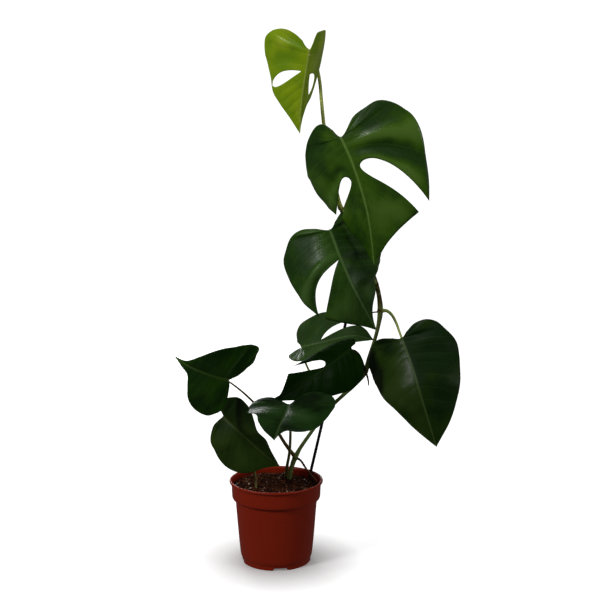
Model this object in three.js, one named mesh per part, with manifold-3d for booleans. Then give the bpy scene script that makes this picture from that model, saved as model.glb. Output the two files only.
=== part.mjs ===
// Potted climbing plant with nine leaves, five of them slit or holed. Millimetres, +Z up. The pot's axis
// is the Z axis and the flat pad under its floor stands on z = 0.
import * as THREE from 'three';
import { mergeVertices } from 'three/addons/utils/BufferGeometryUtils.js';
import Module from 'manifold-3d';

const wasm = await Module();
wasm.setup();

// Sizes shared by all pieces
const GAP = 0.3;
const BLADE_THICKNESS = 1;
const CURL_SPAN = 60;
const WELD = 1e-4;

// Pot
const POT_HEIGHT = 107;
const RIM_RADIUS = 60;
const COLLAR_RADIUS = 57.4;
const COLLAR_FOOT = 84;
const BODY_TOP_RADIUS = 52.4;
const BODY_MIDDLE_RADIUS = 48.7;
const BODY_MIDDLE_HEIGHT = 35;
const BODY_FOOT_RADIUS = 46.2;
const BODY_FOOT_RISE = 4.5;
const FOOT_RADIUS = 44;
const FOOT_INNER_RADIUS = 41.2;
const FOOT_HEIGHT = 5.6;
const WALL = 1.2;
const FLOOR = 1.2;
const PAD_RADIUS = 29.6;
const CHANNEL_RADIUS = 31;
const CHANNEL_HEIGHT = 3.5;
const DRAIN_COUNT = 8;
const DRAIN_RADIUS = 4;
const DRAIN_RING_RADIUS = 36;
const DRAIN_SIDES = 12;
const NOTCH_COUNT = 4;
const NOTCH_WIDTH = 19;
const NOTCH_HEIGHT = 3.4;
const NOTCH_DEPTH = 8;
const NOTCH_TURN = 7.8;
const POT_SIDES = 40;

// Soil
const SOIL_TOP = 103.4;
const SOIL_DROP = 5.5;
const SOIL_LEAN = 1.6;
const SOIL_EDGE_RADIUS = 55;
const SOIL_ROUGHNESS = 0.7;
const SOIL_SIDES = 32;

// Stake, from its buried end to its top
const STAKE_RADIUS = 1.75;
const STAKE_PATH = [[23, 7.8, 20], [103, 92.6, 345]];
const STAKE_STEPS = 4;
const STAKE_SIDES = 8;

// Main stem: [x, y, z, radius] from its buried end up, thicker at its three nodes
const STEM = [
  [13, 13.5, 70, 2.6], [16.6, 12.6, 103, 2.6], [20.5, 12, 121, 2.5], [24.5, 12, 132, 3.3],
  [30, 12, 143, 2.5], [42, 12, 161, 2.3], [66, 14, 194, 2.4], [84, 14, 212, 2.4],
  [102, 14, 229, 2.5], [114, 14, 245, 3.6], [119, 13, 265, 2.4], [125, 11, 285, 2.3],
  [130, 10, 306, 2.6], [132, 9, 324, 3.7], [130, 8, 344, 2.9], [125, 8, 363, 3],
  [116, 8, 384, 2.8], [103, 7, 408, 2.7], [93, 6, 427, 2.6], [84, 6, 447, 2.9], [81, 6, 455, 2.4],
];
const STEM_STEPS = 44;
const STEM_SIDES = 8;

// Stalks: [x, y, z] from the stem or the soil to just behind the blade, then the radius at each end.
// Each one ends on its midrib, STALK_SEAT of the way from the notch to the tip.
const STALKS = {
  petiole_1: {
    path: [[81, 6, 454], [78, 8, 465], [73, 14, 488], [67, 22, 519], [62, 28, 544], [59, 31, 569],
      [57, 35, 590], [55.5, 34, 607], [53, 27, 621], [49.5, 13, 632], [46, -6, 639], [43, -28, 641]],
    radius: [1.9, 1.1],
  },
  petiole_2: {
    path: [[84, 6, 447], [87, 3, 461], [91, -4, 480], [93, -17, 502], [90.5, -34, 521],
      [85, -49, 534]],
    radius: [2.4, 1.6],
  },
  petiole_3: {
    path: [[126, 8, 358], [119, 2, 371], [105, -6, 388], [89, -14, 405], [77, -22, 418]],
    radius: [2.3, 1.4],
  },
  petiole_4: {
    path: [[132, 9, 324], [140, 5, 324.5], [146, 0, 320], [151, -8, 311], [154.5, -17, 301],
      [157, -23, 294]],
    radius: [2.3, 1.3],
  },
  petiole_5: {
    path: [[69, 14, 197], [59, 18, 213], [49, 24, 230], [42, 29, 243], [37, 33, 254],
      [35, 37, 264]],
    radius: [2.1, 1.2],
  },
  petiole_6: {
    path: [[114, 14, 245], [111, 8, 253], [108, -4, 263], [103, -17, 274], [96, -27, 280]],
    radius: [2.1, 1.4],
  },
  petiole_7: {
    path: [[12, 20, 84], [12, 20, 103], [14, 15, 121], [16, 9, 133], [17.5, 1, 147],
      [18.5, -24, 180], [18, -50, 204]],
    radius: [2, 1.3],
  },
  petiole_8: {
    path: [[25, 12, 132], [17, 12, 142], [9, 8, 155], [2, 0, 169], [-12, -16, 191],
      [-27, -32, 215], [-43, -46, 234], [-53, -54, 244], [-57, -61, 248.5]],
    radius: [2, 0.9],
  },
  petiole_9: {
    path: [[-25, -21, 86], [-25, -22, 103], [-26, -22, 117], [-29, -23, 131], [-41, -26, 158],
      [-53, -26, 180], [-59, -28, 190]],
    radius: [1.8, 1.1],
  },
};
const STALK_SEAT = 0.05;
// How far a blade is shifted back for the cut that keeps its stalk clear of it
const SEAT_GAP = 0.45;
const STALK_STEPS = 12;
const STALK_SIDES = 6;

// Aerial roots, laid out like the stalks
const ROOTS = {
  aerial_root_1: {
    path: [[24.5, 12, 132], [31, 9, 129], [36, 8, 122], [40, 7, 116], [47, 4, 109], [52, 1, 103],
      [54, -1, 96]],
    radius: [1.6, 0.9],
  },
  aerial_root_2: {
    path: [[114, 13, 245], [116, 9, 240], [117.5, 8, 234], [118, 8, 228]],
    radius: [1.7, 0.7],
  },
  aerial_root_3: {
    path: [[132, 9, 322.5], [126, 8, 322.5], [121, 7.5, 321.8]],
    radius: [1.1, 0.8],
  },
};
const ROOT_STEPS = 8;

// Leaf blades. The midrib runs from the stalk to the tip and the blade faces `facing`. The halves are
// named as seen with the tip hanging down. A half is folded at the midrib and curled over its width, and
// its margin is one run of [along the midrib, across from it, lift], or two runs beside a slit.
// A slit starts `inner` of the way out along the vein that leaves the midrib at `root`. A hole lies on
// such a vein from `inner` to `outer`, and its vein reaches the margin at `share` of the margin's length.
// `swell` bows out its edge towards the stalk and its edge towards the tip, and a `lean` below 1 moves the
// widest place inwards.
const LEAVES = {
  leaf_1: {
    midrib: [[42, -44, 644], [38, -31, 620], [33, -15, 588], [30, 3, 547]],
    facing: [0.17, -0.98, 0.11],
    left: {
      fold: -29,
      curl: -19,
      margin: [[[-9, 11], [-14, 22], [-15, 36], [-6, 54], [8, 63], [27, 60], [43, 51.5], [52, 46],
        [66, 40], [77, 29], [92, 14], [103, 5], [109, 0]]],
      hole: { root: 26, share: 0.65, inner: 0.06, outer: 0.98, swell: [6.9, 6.7], lean: 1.6 },
    },
    right: {
      fold: -52,
      curl: -24,
      margin: [[[-9, 7], [-18, 12], [-16, 26], [-10, 44], [0, 56], [21, 61], [38, 56], [57, 48],
        [73, 30], [78, 17], [89, 7], [109, 0]]],
      hole: { root: 12.4, share: 0.79, inner: 0.45, outer: 0.88, swell: [14.7, 2.1], lean: 1.3 },
    },
  },
  leaf_2: {
    midrib: [[79, -62, 542], [95, -64, 505], [111, -58, 452], [121, -39, 389]],
    facing: [-0.47, -0.88, -0.07],
    left: {
      fold: -13,
      curl: -15,
      margin: [
        [[-12, 7], [-23, 17], [-25, 29], [-11, 60.5], [3.5, 77.5], [22.5, 87], [46, 88], [71, 84],
          [94, 70], [105, 56]],
        [[110, 46], [125, 33], [140, 15], [154, 6], [163, 0]],
      ],
      slit: { root: 38, inner: 0.23, swell: [8, 4.7], lean: 0.4 },
    },
    right: {
      fold: -6,
      curl: -13,
      margin: [
        [[-6, 10], [-17, 24], [-21, 41], [-22.5, 58], [-12.5, 74], [5, 85.5], [25, 90], [48, 86],
          [75, 81], [93, 76]],
        [[101, 62], [108, 49], [120, 33], [135, 19], [149, 9.5], [163, 0]],
      ],
      slit: { root: 31.5, inner: 0.12, swell: [10.2, 7.3], lean: 0.52 },
    },
  },
  leaf_3: {
    midrib: [[67, -32, 430], [81, -48, 394], [99, -50, 355], [125, -29, 306]],
    facing: [0.14, -0.78, 0.61],
    left: {
      fold: -15,
      curl: -45,
      margin: [
        [[-8, 15, -1], [-15, 34, -1], [-11.5, 53.5], [-1.5, 67], [8, 78], [30, 78.5], [54, 73],
          [78, 63], [92, 55]],
        [[96, 49], [103, 40], [114, 27], [129, 12], [145, 0]],
      ],
      slit: { root: 37.4, inner: 0.05, swell: [9.8, 3.5], lean: 1.2 },
    },
    right: {
      fold: -8,
      curl: -29,
      margin: [[[-9, 10], [-21, 27], [-18, 48], [-6, 66], [11, 78], [34, 79], [57, 75], [76, 65],
        [99, 53], [111, 34], [123, 14, -2], [135, 5, -2], [145, 0]]],
    },
  },
  leaf_4: {
    midrib: [[156, -27, 295], [167, -49, 266], [178, -66, 229], [197, -69, 168]],
    facing: [-0.2, -0.95, 0.25],
    left: {
      fold: -14,
      curl: -34,
      margin: [[[-6, 10], [-16, 30], [-16, 44], [-8, 56], [5, 67], [27, 66], [51, 60], [68.5, 53.5],
        [87, 42], [111, 26], [125, 15], [144, 0]]],
    },
    right: {
      fold: -4,
      curl: -31,
      margin: [[[-6, 8], [-14, 22], [-15, 37], [-9, 50], [3, 59], [17, 64], [33, 65], [52, 59],
        [73, 53], [89, 46], [105, 36], [119.5, 24.5], [133.5, 10.5], [144, 0]]],
    },
  },
  leaf_5: {
    midrib: [[32, 40, 271], [54, 35, 277], [96, 30, 288], [124, 31, 283]],
    facing: [0.01, -0.54, 0.84],
    left: {
      fold: 20,
      curl: -8,
      margin: [[[-8, 7], [-14, 17], [-11, 28], [-2, 39], [12, 44], [31, 43], [52, 34], [68, 23],
        [83, 12], [97, 0]]],
    },
    right: {
      fold: 18,
      curl: -10,
      margin: [
        [[-5, 9], [-5, 24.5], [2, 37], [16, 44], [38, 45], [54, 39], [73, 22.5]],
        [[77.5, 16.5], [86, 11.5], [92, 5.5], [97, 0]],
      ],
      slit: { root: 19.8, inner: 0.22, swell: [4.6, 0], lean: 1 },
    },
  },
  leaf_6: {
    midrib: [[93, -36, 284], [64, -39, 262], [33, -38, 240], [-9, -31, 216]],
    facing: [-0.39, -0.84, 0.39],
    left: {
      fold: -18,
      curl: -29,
      margin: [
        [[-8, 4, -3], [-11, 11, -3], [-5, 20, -4], [11, 31, -4], [28, 34, -3], [48, 35], [78, 36, 2]],
        [[88, 24.5, 3], [95, 11.5, 3], [107, 1], [124, 0]],
      ],
      slit: { root: 33.3, inner: 0.12, swell: [5.7, 3.1], lean: 0.4 },
    },
    right: {
      fold: -3,
      curl: -24,
      margin: [[[0, 7, -2], [-4, 16, -2], [2, 29, -1], [12, 38, -1], [30, 41], [43, 37], [60, 30],
        [81, 19], [98, 11], [124, 0]]],
    },
  },
  leaf_7: {
    midrib: [[17, -69, 221.5], [13, -100, 216.5], [7, -129, 210.5], [1, -159, 201.5]],
    facing: [-0.05, -0.55, 0.83],
    left: {
      fold: 9,
      curl: -33,
      margin: [[[-7, 9], [-15, 22, 1], [-14, 38, 0], [0, 48], [20, 49], [37, 44, 2], [49, 32, 3],
        [63, 26, 2], [80, 14], [94, 0]]],
    },
    right: {
      fold: 13,
      curl: -12,
      margin: [[[-7, 7, 2], [-17, 23, 5], [-14, 41, 5], [-4, 55, 4], [12, 58], [28, 53.5, -3],
        [42, 48, -5], [59, 42, -6], [69, 32, -5], [72, 21, -4], [72, 10, -2], [80, 4, -1], [94, 0]]],
    },
  },
  leaf_8: {
    midrib: [[-55, -66, 251], [-75, -94, 263], [-99, -113, 278], [-115, -114, 289]],
    facing: [-0.37, -0.9, 0.22],
    left: {
      fold: 14,
      curl: -11,
      margin: [[[-8, 9], [-13, 23], [-12, 41.5], [-4.5, 54], [9, 54.5], [24, 52], [39, 44], [56, 32],
        [68, 17], [78, 4], [91, 0]]],
    },
    right: {
      fold: 12,
      curl: -11,
      margin: [[[-5, 7], [-11, 24], [-9, 39], [-1, 45.5], [11, 49.5], [37, 45], [52, 36], [61, 22],
        [68, 10], [79.5, 4.5], [91, 0]]],
    },
  },
  leaf_9: {
    midrib: [[-65, -32, 197.5], [-45, -44, 181.5], [-16, -51, 156.5], [5, -50, 138.5]],
    facing: [-0.57, -0.82, 0.07],
    left: {
      fold: 12,
      curl: 1,
      margin: [[[-3, 9, -2], [-4, 18, -2], [0, 28, -2], [8, 37, -1], [18.5, 40.5], [32, 44.5, 1],
        [46, 45.5, 2], [60, 41, 3], [73, 30, 3], [83, 13, 2], [95, 0]]],
    },
    right: {
      fold: 19,
      curl: -13,
      margin: [[[-8, 5], [-12, 15], [-7, 27], [2, 37], [14, 43], [25, 43, 1], [35.5, 36, 3],
        [47, 28.5, 4], [59.5, 27, 4], [72, 17, 3], [84, 8, 1], [95, 0]]],
    },
  },
};
// Share of a margin whose veins leave the blade from the stalk end of the midrib
const BASAL_SHARE = 0.3;
const BASAL_RAYS = 4;
const MIDRIB_STEPS = 9;
const VEIN_STEPS = 5;
const VEIN_SLANT = 0.3;
const VEIN_SPREAD = 0.55;
const MIDDLE_SHARE = 0.42;
const SWELL_REACH = 0.12;
const ROUND_END = 3;

const COLOURS = {
  pot: 0x8a3320,
  soil: 0x33231a,
  stake: 0x151515,
  stem: 0x66753c,
  root: 0x5a4028,
  leaf: 0x2f5a2a,
  youngLeaf: 0x82a63a,
};

function vectors(points) {
  return points.map((point) => new THREE.Vector3(point[0], point[1], point[2] ?? 0));
}

function indexedGeometry(positions, triangles) {
  const geometry = new THREE.BufferGeometry();
  geometry.setAttribute('position', new THREE.Float32BufferAttribute(positions, 3));
  geometry.setIndex(triangles);
  return geometry;
}

function toSolid(geometry) {
  const plain = geometry.clone();
  plain.deleteAttribute('normal');
  plain.deleteAttribute('uv');
  const merged = mergeVertices(plain, WELD);
  return new wasm.Manifold(new wasm.Mesh({
    numProp: 3,
    vertProperties: new Float32Array(merged.attributes.position.array),
    triVerts: new Uint32Array(merged.index.array),
  }));
}

// The largest of the bodies that a cut leaves, as a geometry.
function largestBody(solid) {
  const bodies = solid.decompose().sort((a, b) => b.volume() - a.volume());
  const mesh = bodies[0].getMesh();
  return indexedGeometry(Array.from(mesh.vertProperties), Array.from(mesh.triVerts));
}

// A round rod along a smooth path, its radius given at evenly spread stations. `grow` fattens it all
// round and at both ends, for cutting clearance.
function rod(path, radii, steps, sides, grow) {
  const curve = new THREE.CatmullRomCurve3(vectors(path));
  const outline = new THREE.Shape();
  for (let i = 0; i < sides; i += 1) {
    const angle = (i / sides) * 2 * Math.PI;
    outline[i === 0 ? 'moveTo' : 'lineTo'](Math.cos(angle), Math.sin(angle));
  }
  outline.closePath();
  const geometry = new THREE.ExtrudeGeometry(outline, {
    steps,
    extrudePath: curve,
    curveSegments: 1,
    bevelEnabled: false,
  });
  const stations = curve.getSpacedPoints(steps);
  const position = geometry.attributes.position;
  const point = new THREE.Vector3();
  for (let i = 0; i < position.count; i += 1) {
    point.fromBufferAttribute(position, i);
    let nearest = 0;
    for (let j = 1; j <= steps; j += 1) {
      if (stations[j].distanceTo(point) < stations[nearest].distanceTo(point)) nearest = j;
    }
    const along = (nearest / steps) * (radii.length - 1);
    const before = Math.min(Math.floor(along), radii.length - 2);
    const radius = THREE.MathUtils.lerp(radii[before], radii[before + 1], along - before) + grow;
    point.sub(stations[nearest]).multiplyScalar(radius).add(stations[nearest]);
    if (nearest === 0) point.addScaledVector(curve.getTangentAt(0), -grow);
    if (nearest === steps) point.addScaledVector(curve.getTangentAt(1), grow);
    position.setXYZ(i, point.x, point.y, point.z);
  }
  return geometry;
}

// The margin of a half leaf, as a place for each share of its whole length.
function marginOf(half) {
  const runs = half.margin.map((points) => new THREE.CatmullRomCurve3(vectors(points)));
  const lengths = runs.map((run) => run.getLength());
  const total = lengths.reduce((sum, length) => sum + length, 0);
  const slitShare = runs.length > 1 ? lengths[0] / total : null;
  const at = (share, run) => {
    if (runs.length === 1) return runs[0].getPointAt(share);
    if (run === 0) return runs[0].getPointAt(Math.min(share / slitShare, 1));
    return runs[1].getPointAt(Math.max((share - slitShare) / (1 - slitShare), 0));
  };
  return { at, slitShare };
}

// The share of the margin that the vein leaving the midrib at `root` runs to. The vein at an opening is
// fixed, and the others are spread between it and the ends.
function shareAt(root, length, opening, openShare) {
  const knots = [[0, BASAL_SHARE]];
  if (opening) knots.push([opening.root, openShare]);
  const [lastRoot, lastShare] = knots[knots.length - 1];
  knots.push([lastRoot + MIDDLE_SHARE * (length - lastRoot), (lastShare + 1) / 2], [length, 1]);
  for (let i = 1; i < knots.length; i += 1) {
    if (root <= knots[i][0]) {
      const t = (root - knots[i - 1][0]) / (knots[i][0] - knots[i - 1][0]);
      return THREE.MathUtils.lerp(knots[i - 1][1], knots[i][1], t);
    }
  }
  return 1;
}

// Places along the midrib where veins leave it, the same for both halves.
function midribRoots(leaf, length) {
  const fixed = [leaf.left, leaf.right].flatMap((half) => [half.slit, half.hole])
    .filter(Boolean)
    .map((opening) => opening.root);
  const roots = [];
  for (let i = 1; i < MIDRIB_STEPS; i += 1) {
    const s = i / MIDRIB_STEPS;
    const root = length * s * (0.4 + 0.6 * s);
    if (fixed.every((other) => Math.abs(other - root) > length / (2.5 * MIDRIB_STEPS))) roots.push(root);
  }
  return [...roots, ...fixed].sort((a, b) => a - b);
}

// A place t of the way out along a vein, flat: [along, across, lift].
function veinPoint(root, end, t) {
  const turn = [root + VEIN_SLANT * (end.x - root), VEIN_SPREAD * end.y];
  const along = (1 - t) ** 2 * root + 2 * t * (1 - t) * turn[0] + t * t * end.x;
  const across = 2 * t * (1 - t) * turn[1] + t * t * end.y;
  return [along, across, end.z * t * t];
}

// The veins of one half in order from the notch to the tip, each a row of flat places.
function veinRows(half, length, roots) {
  const margin = marginOf(half);
  const opening = half.slit ?? half.hole;
  const inner = opening ? opening.inner : 0;
  const steps = [0];
  const outer = half.hole ? half.hole.outer : 1;
  for (let i = 1; i <= VEIN_STEPS; i += 1) {
    const openSteps = (i - 1) / (VEIN_STEPS - 1);
    steps.push(opening ? inner + openSteps * (outer - inner) : i / VEIN_STEPS);
  }
  if (half.hole) steps.push(1);
  const openShare = opening ? margin.slitShare ?? opening.share : 0;
  const middle = opening ? margin.at(openShare, 0).add(margin.at(openShare, 1)).multiplyScalar(0.5) : null;
  const row = (root, share, run, side) => {
    const end = margin.at(share, run);
    return steps.map((t) => {
      const place = veinPoint(root, end, t);
      if (!opening || t <= inner) return side ? veinPoint(root, middle, t) : place;
      const open = Math.min((t - inner) / (outer - inner), 1);
      if (side && half.slit) {
        const centre = veinPoint(root, middle, t);
        const x = Math.min(ROUND_END * open, 1);
        const part = Math.sqrt(x * (2 - x));
        for (let i = 0; i < 3; i += 1) place[i] = centre[i] + (place[i] - centre[i]) * part;
      }
      const away = side || Math.sign(share - openShare);
      const heading = new THREE.Vector2(middle.x - opening.root, middle.y).normalize();
      const near = side ? 1 : Math.exp(-Math.abs(share - openShare) / SWELL_REACH);
      const bulge = Math.abs(Math.sin(Math.PI * open ** opening.lean)) ** (half.hole ? 0.5 : 1);
      const push = opening.swell[away > 0 ? 1 : 0] * bulge * near * away;
      return [place[0] + heading.y * push, place[1] - heading.x * push, place[2]];
    });
  };
  const rows = [];
  for (let i = 0; i < BASAL_RAYS; i += 1) rows.push(row(0, (i / BASAL_RAYS) * BASAL_SHARE, 0, 0));
  for (const root of [0, ...roots]) {
    if (opening && root === opening.root) {
      rows.push(row(root, openShare, 0, -1), row(root, openShare, 1, 1));
      rows[rows.length - 1].afterOpening = true;
    } else {
      const share = shareAt(root, length, opening, openShare);
      rows.push(row(root, share, share > openShare ? 1 : 0, 0));
    }
  }
  rows.push(steps.map(() => [length, 0, 0]));
  return rows;
}

// A flat place on the blade as a point in space.
function bladePoint(curve, length, facing, half, side, [along, across, lift]) {
  const u = THREE.MathUtils.clamp(along / length, 0, 1);
  const ahead = curve.getTangentAt(u);
  const point = curve.getPointAt(u).addScaledVector(ahead, along - u * length);
  const up = facing.clone().addScaledVector(ahead, -ahead.dot(facing)).normalize();
  const out = new THREE.Vector3().crossVectors(ahead, up).multiplyScalar(side);
  const fold = THREE.MathUtils.degToRad(half.fold);
  const outward = out.clone().multiplyScalar(Math.cos(fold)).addScaledVector(up, Math.sin(fold));
  const above = up.clone().multiplyScalar(Math.cos(fold)).addScaledVector(out, -Math.sin(fold));
  const bend = THREE.MathUtils.degToRad(half.curl) / CURL_SPAN;
  point.addScaledVector(outward, Math.sin(bend * across) / bend);
  return point.addScaledVector(above, (1 - Math.cos(bend * across)) / bend + lift);
}

function midribCurve(leaf) {
  return new THREE.CatmullRomCurve3(vectors(leaf.midrib), false, 'catmullrom', 0.5);
}

// The middle surface of a blade: shared points and triangles that face the leaf's upper side.
function bladeSurface(leaf) {
  const curve = midribCurve(leaf);
  const length = curve.getLength();
  const facing = new THREE.Vector3(...leaf.facing);
  const roots = midribRoots(leaf, length);
  const points = [];
  const known = new Map();
  const triangles = [];
  const indexOf = (point) => {
    const key = point.toArray().map((value) => Math.round(value * 1000)).join();
    if (!known.has(key)) {
      known.set(key, points.length);
      points.push(point);
    }
    return known.get(key);
  };
  const addTriangle = (a, b, c) => {
    if (a !== b && b !== c && c !== a) triangles.push([a, b, c]);
  };
  for (const [half, side] of [[leaf.left, 1], [leaf.right, -1]]) {
    const rows = veinRows(half, length, roots);
    const grid = rows.map((row) => row.map((place) => (
      indexOf(bladePoint(curve, length, facing, half, side, place)))));
    for (let i = 1; i < grid.length; i += 1) {
      if (rows[i].afterOpening) continue;
      for (let j = 1; j < grid[i].length; j += 1) {
        const [a, b] = [grid[i - 1][j - 1], grid[i][j - 1]];
        const [c, d] = [grid[i][j], grid[i - 1][j]];
        if (side > 0) {
          addTriangle(a, c, b);
          addTriangle(a, d, c);
        } else {
          addTriangle(a, b, c);
          addTriangle(a, c, d);
        }
      }
    }
  }
  return { points, triangles };
}

// A closed solid `thickness` thick round a middle surface.
function thicken({ points, triangles }, thickness) {
  const normals = points.map(() => new THREE.Vector3());
  const borders = new Map();
  for (const corners of triangles) {
    const [a, b, c] = corners.map((corner) => points[corner]);
    const normal = b.clone().sub(a).cross(c.clone().sub(a));
    corners.forEach((corner, i) => {
      const next = corners[(i + 1) % 3];
      normals[corner].add(normal);
      if (borders.has(`${next},${corner}`)) borders.delete(`${next},${corner}`);
      else borders.set(`${corner},${next}`, [corner, next]);
    });
  }
  const count = points.length;
  const positions = [];
  for (const direction of [1, -1]) {
    points.forEach((point, i) => {
      const offset = normals[i].clone().setLength((direction * thickness) / 2);
      positions.push(...point.clone().add(offset).toArray());
    });
  }
  const faces = [];
  for (const [a, b, c] of triangles) faces.push(a, b, c, a + count, c + count, b + count);
  for (const [a, b] of borders.values()) faces.push(a, a + count, b + count, a, b + count, b);
  return indexedGeometry(positions, faces);
}

function latheSolid(profile, sides) {
  const outline = [...profile, profile[0]].map(([radius, z]) => new THREE.Vector2(radius, z));
  return new THREE.LatheGeometry(outline, sides).rotateX(Math.PI / 2);
}

function potGeometry() {
  const channelTop = CHANNEL_HEIGHT + FLOOR;
  const profile = [
    [0, 0], [PAD_RADIUS, 0], [CHANNEL_RADIUS, CHANNEL_HEIGHT], [FOOT_INNER_RADIUS, CHANNEL_HEIGHT],
    [FOOT_INNER_RADIUS, 0], [FOOT_RADIUS, 0], [FOOT_RADIUS + 0.3, FOOT_HEIGHT],
    [FOOT_RADIUS + 1.3, FOOT_HEIGHT + 1.2], [BODY_FOOT_RADIUS, FOOT_HEIGHT + BODY_FOOT_RISE],
    [BODY_MIDDLE_RADIUS, BODY_MIDDLE_HEIGHT],
    [BODY_TOP_RADIUS, COLLAR_FOOT - 1.4], [COLLAR_RADIUS - 1.8, COLLAR_FOOT - 0.8],
    [COLLAR_RADIUS - 0.9, COLLAR_FOOT + 1], [COLLAR_RADIUS, POT_HEIGHT - 3.6],
    [RIM_RADIUS - 0.6, POT_HEIGHT - 3], [RIM_RADIUS, POT_HEIGHT - 2.2], [RIM_RADIUS, POT_HEIGHT - 0.8],
    [RIM_RADIUS - 0.8, POT_HEIGHT], [RIM_RADIUS - 2.2, POT_HEIGHT], [COLLAR_RADIUS - WALL, POT_HEIGHT - 2],
    [COLLAR_RADIUS - WALL - 0.9, COLLAR_FOOT + 1.2], [BODY_TOP_RADIUS - WALL, COLLAR_FOOT - 1.6],
    [BODY_MIDDLE_RADIUS - WALL, BODY_MIDDLE_HEIGHT],
    [BODY_FOOT_RADIUS - WALL, FOOT_HEIGHT + BODY_FOOT_RISE],
    [FOOT_RADIUS - 0.6, channelTop],
    [CHANNEL_RADIUS - 0.7, channelTop], [PAD_RADIUS - 0.7, FLOOR], [0, FLOOR],
  ];
  let pot = toSolid(latheSolid(profile, POT_SIDES));
  for (let i = 0; i < NOTCH_COUNT; i += 1) {
    const notch = new THREE.BoxGeometry(NOTCH_WIDTH, NOTCH_DEPTH, 2 * NOTCH_HEIGHT);
    notch.translate(0, -FOOT_RADIUS + 1, 0);
    notch.rotateZ(THREE.MathUtils.degToRad(NOTCH_TURN) + (i / NOTCH_COUNT) * 2 * Math.PI);
    pot = pot.subtract(toSolid(notch));
  }
  for (let i = 0; i < DRAIN_COUNT; i += 1) {
    const drain = new THREE.CylinderGeometry(DRAIN_RADIUS, DRAIN_RADIUS, 4, DRAIN_SIDES);
    drain.rotateX(Math.PI / 2).translate(DRAIN_RING_RADIUS, 0, channelTop);
    drain.rotateZ((i / DRAIN_COUNT) * 2 * Math.PI);
    pot = pot.subtract(toSolid(drain));
  }
  return largestBody(pot);
}

// Soil that follows the pot's inside with a small gap, its top mounded, leaning and a little rough.
function soilGeometry(cutters) {
  const profile = [
    [0, FLOOR + GAP], [PAD_RADIUS - 1.1, FLOOR + GAP],
    [CHANNEL_RADIUS - 1.1, CHANNEL_HEIGHT + FLOOR + GAP],
    [FOOT_RADIUS - 1.2, CHANNEL_HEIGHT + FLOOR + GAP],
    [BODY_FOOT_RADIUS - WALL - 0.5, FOOT_HEIGHT + BODY_FOOT_RISE + 0.2],
    [BODY_MIDDLE_RADIUS - WALL - 0.4, BODY_MIDDLE_HEIGHT],
    [BODY_TOP_RADIUS - WALL - 0.5, COLLAR_FOOT - 1.4], [SOIL_EDGE_RADIUS - 0.4, COLLAR_FOOT + 1.8],
    [SOIL_EDGE_RADIUS, SOIL_TOP - SOIL_DROP], [47, SOIL_TOP - 3.2], [37, SOIL_TOP - 1.6],
    [26, SOIL_TOP - 0.7],
    [14, SOIL_TOP], [0, SOIL_TOP],
  ];
  const geometry = latheSolid(profile, SOIL_SIDES);
  const position = geometry.attributes.position;
  for (let i = 0; i < position.count; i += 1) {
    const [x, y, z] = [position.getX(i), position.getY(i), position.getZ(i)];
    if (z < SOIL_TOP - SOIL_DROP - 1) continue;
    const rough = Math.sin(0.31 * x + 1.3) * Math.cos(0.27 * y - 0.4) + Math.sin(0.17 * (x + y));
    position.setZ(i, z - (SOIL_LEAN * x) / RIM_RADIUS + SOIL_ROUGHNESS * rough);
  }
  let soil = toSolid(geometry);
  for (const cutter of cutters) soil = soil.subtract(cutter);
  return largestBody(soil);
}

const group = new THREE.Group();

function addPiece(name, geometry, colour) {
  const material = new THREE.MeshStandardMaterial({ color: colour, roughness: 0.7 });
  const mesh = new THREE.Mesh(geometry, material);
  mesh.name = name;
  group.add(mesh);
}

const stemPath = STEM.map(([x, y, z]) => [x, y, z]);
const stemRadii = STEM.map((station) => station[3]);
const stemRod = (grow) => rod(stemPath, stemRadii, STEM_STEPS, STEM_SIDES, grow);
const stemCutter = toSolid(stemRod(GAP));
const stakeRod = (grow) => rod(STAKE_PATH, [STAKE_RADIUS, STAKE_RADIUS], STAKE_STEPS, STAKE_SIDES, grow);
const soilCutters = [stemCutter, toSolid(stakeRod(GAP))];

addPiece('nursery_pot', potGeometry(), COLOURS.pot);
addPiece('support_stake', stakeRod(0), COLOURS.stake);
addPiece('climbing_stem', stemRod(0), COLOURS.stem);

for (const [name, { path, radius }] of Object.entries(STALKS)) {
  const leaf = LEAVES[name.replace('petiole', 'leaf')];
  const surface = bladeSurface(leaf);
  const backwards = leaf.facing.map((part) => -SEAT_GAP * part);
  const bladeBehind = toSolid(thicken(surface, BLADE_THICKNESS)).translate(backwards);
  const bladeCutter = toSolid(thicken(surface, BLADE_THICKNESS + 2 * GAP)).add(bladeBehind);
  const seat = midribCurve(leaf).getPoint(STALK_SEAT).toArray();
  const stalkRod = (grow) => rod([...path, seat], radius, STALK_STEPS, STALK_SIDES, grow);
  const stalk = toSolid(stalkRod(0));
  addPiece(name, largestBody(stalk.subtract(stemCutter).subtract(bladeCutter)), COLOURS.stem);
  if (path[0][2] < SOIL_TOP) soilCutters.push(toSolid(stalkRod(GAP)));
}

for (const [name, { path, radius }] of Object.entries(ROOTS)) {
  const rootRod = (grow) => rod(path, radius, ROOT_STEPS, STALK_SIDES, grow);
  addPiece(name, largestBody(toSolid(rootRod(0)).subtract(stemCutter)), COLOURS.root);
  if (path[path.length - 1][2] < SOIL_TOP) soilCutters.push(toSolid(rootRod(GAP)));
}

addPiece('potting_soil', soilGeometry(soilCutters), COLOURS.soil);

for (const [name, leaf] of Object.entries(LEAVES)) {
  const colour = name === 'leaf_1' ? COLOURS.youngLeaf : COLOURS.leaf;
  addPiece(name, thicken(bladeSurface(leaf), BLADE_THICKNESS), colour);
}

export default group;
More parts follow.
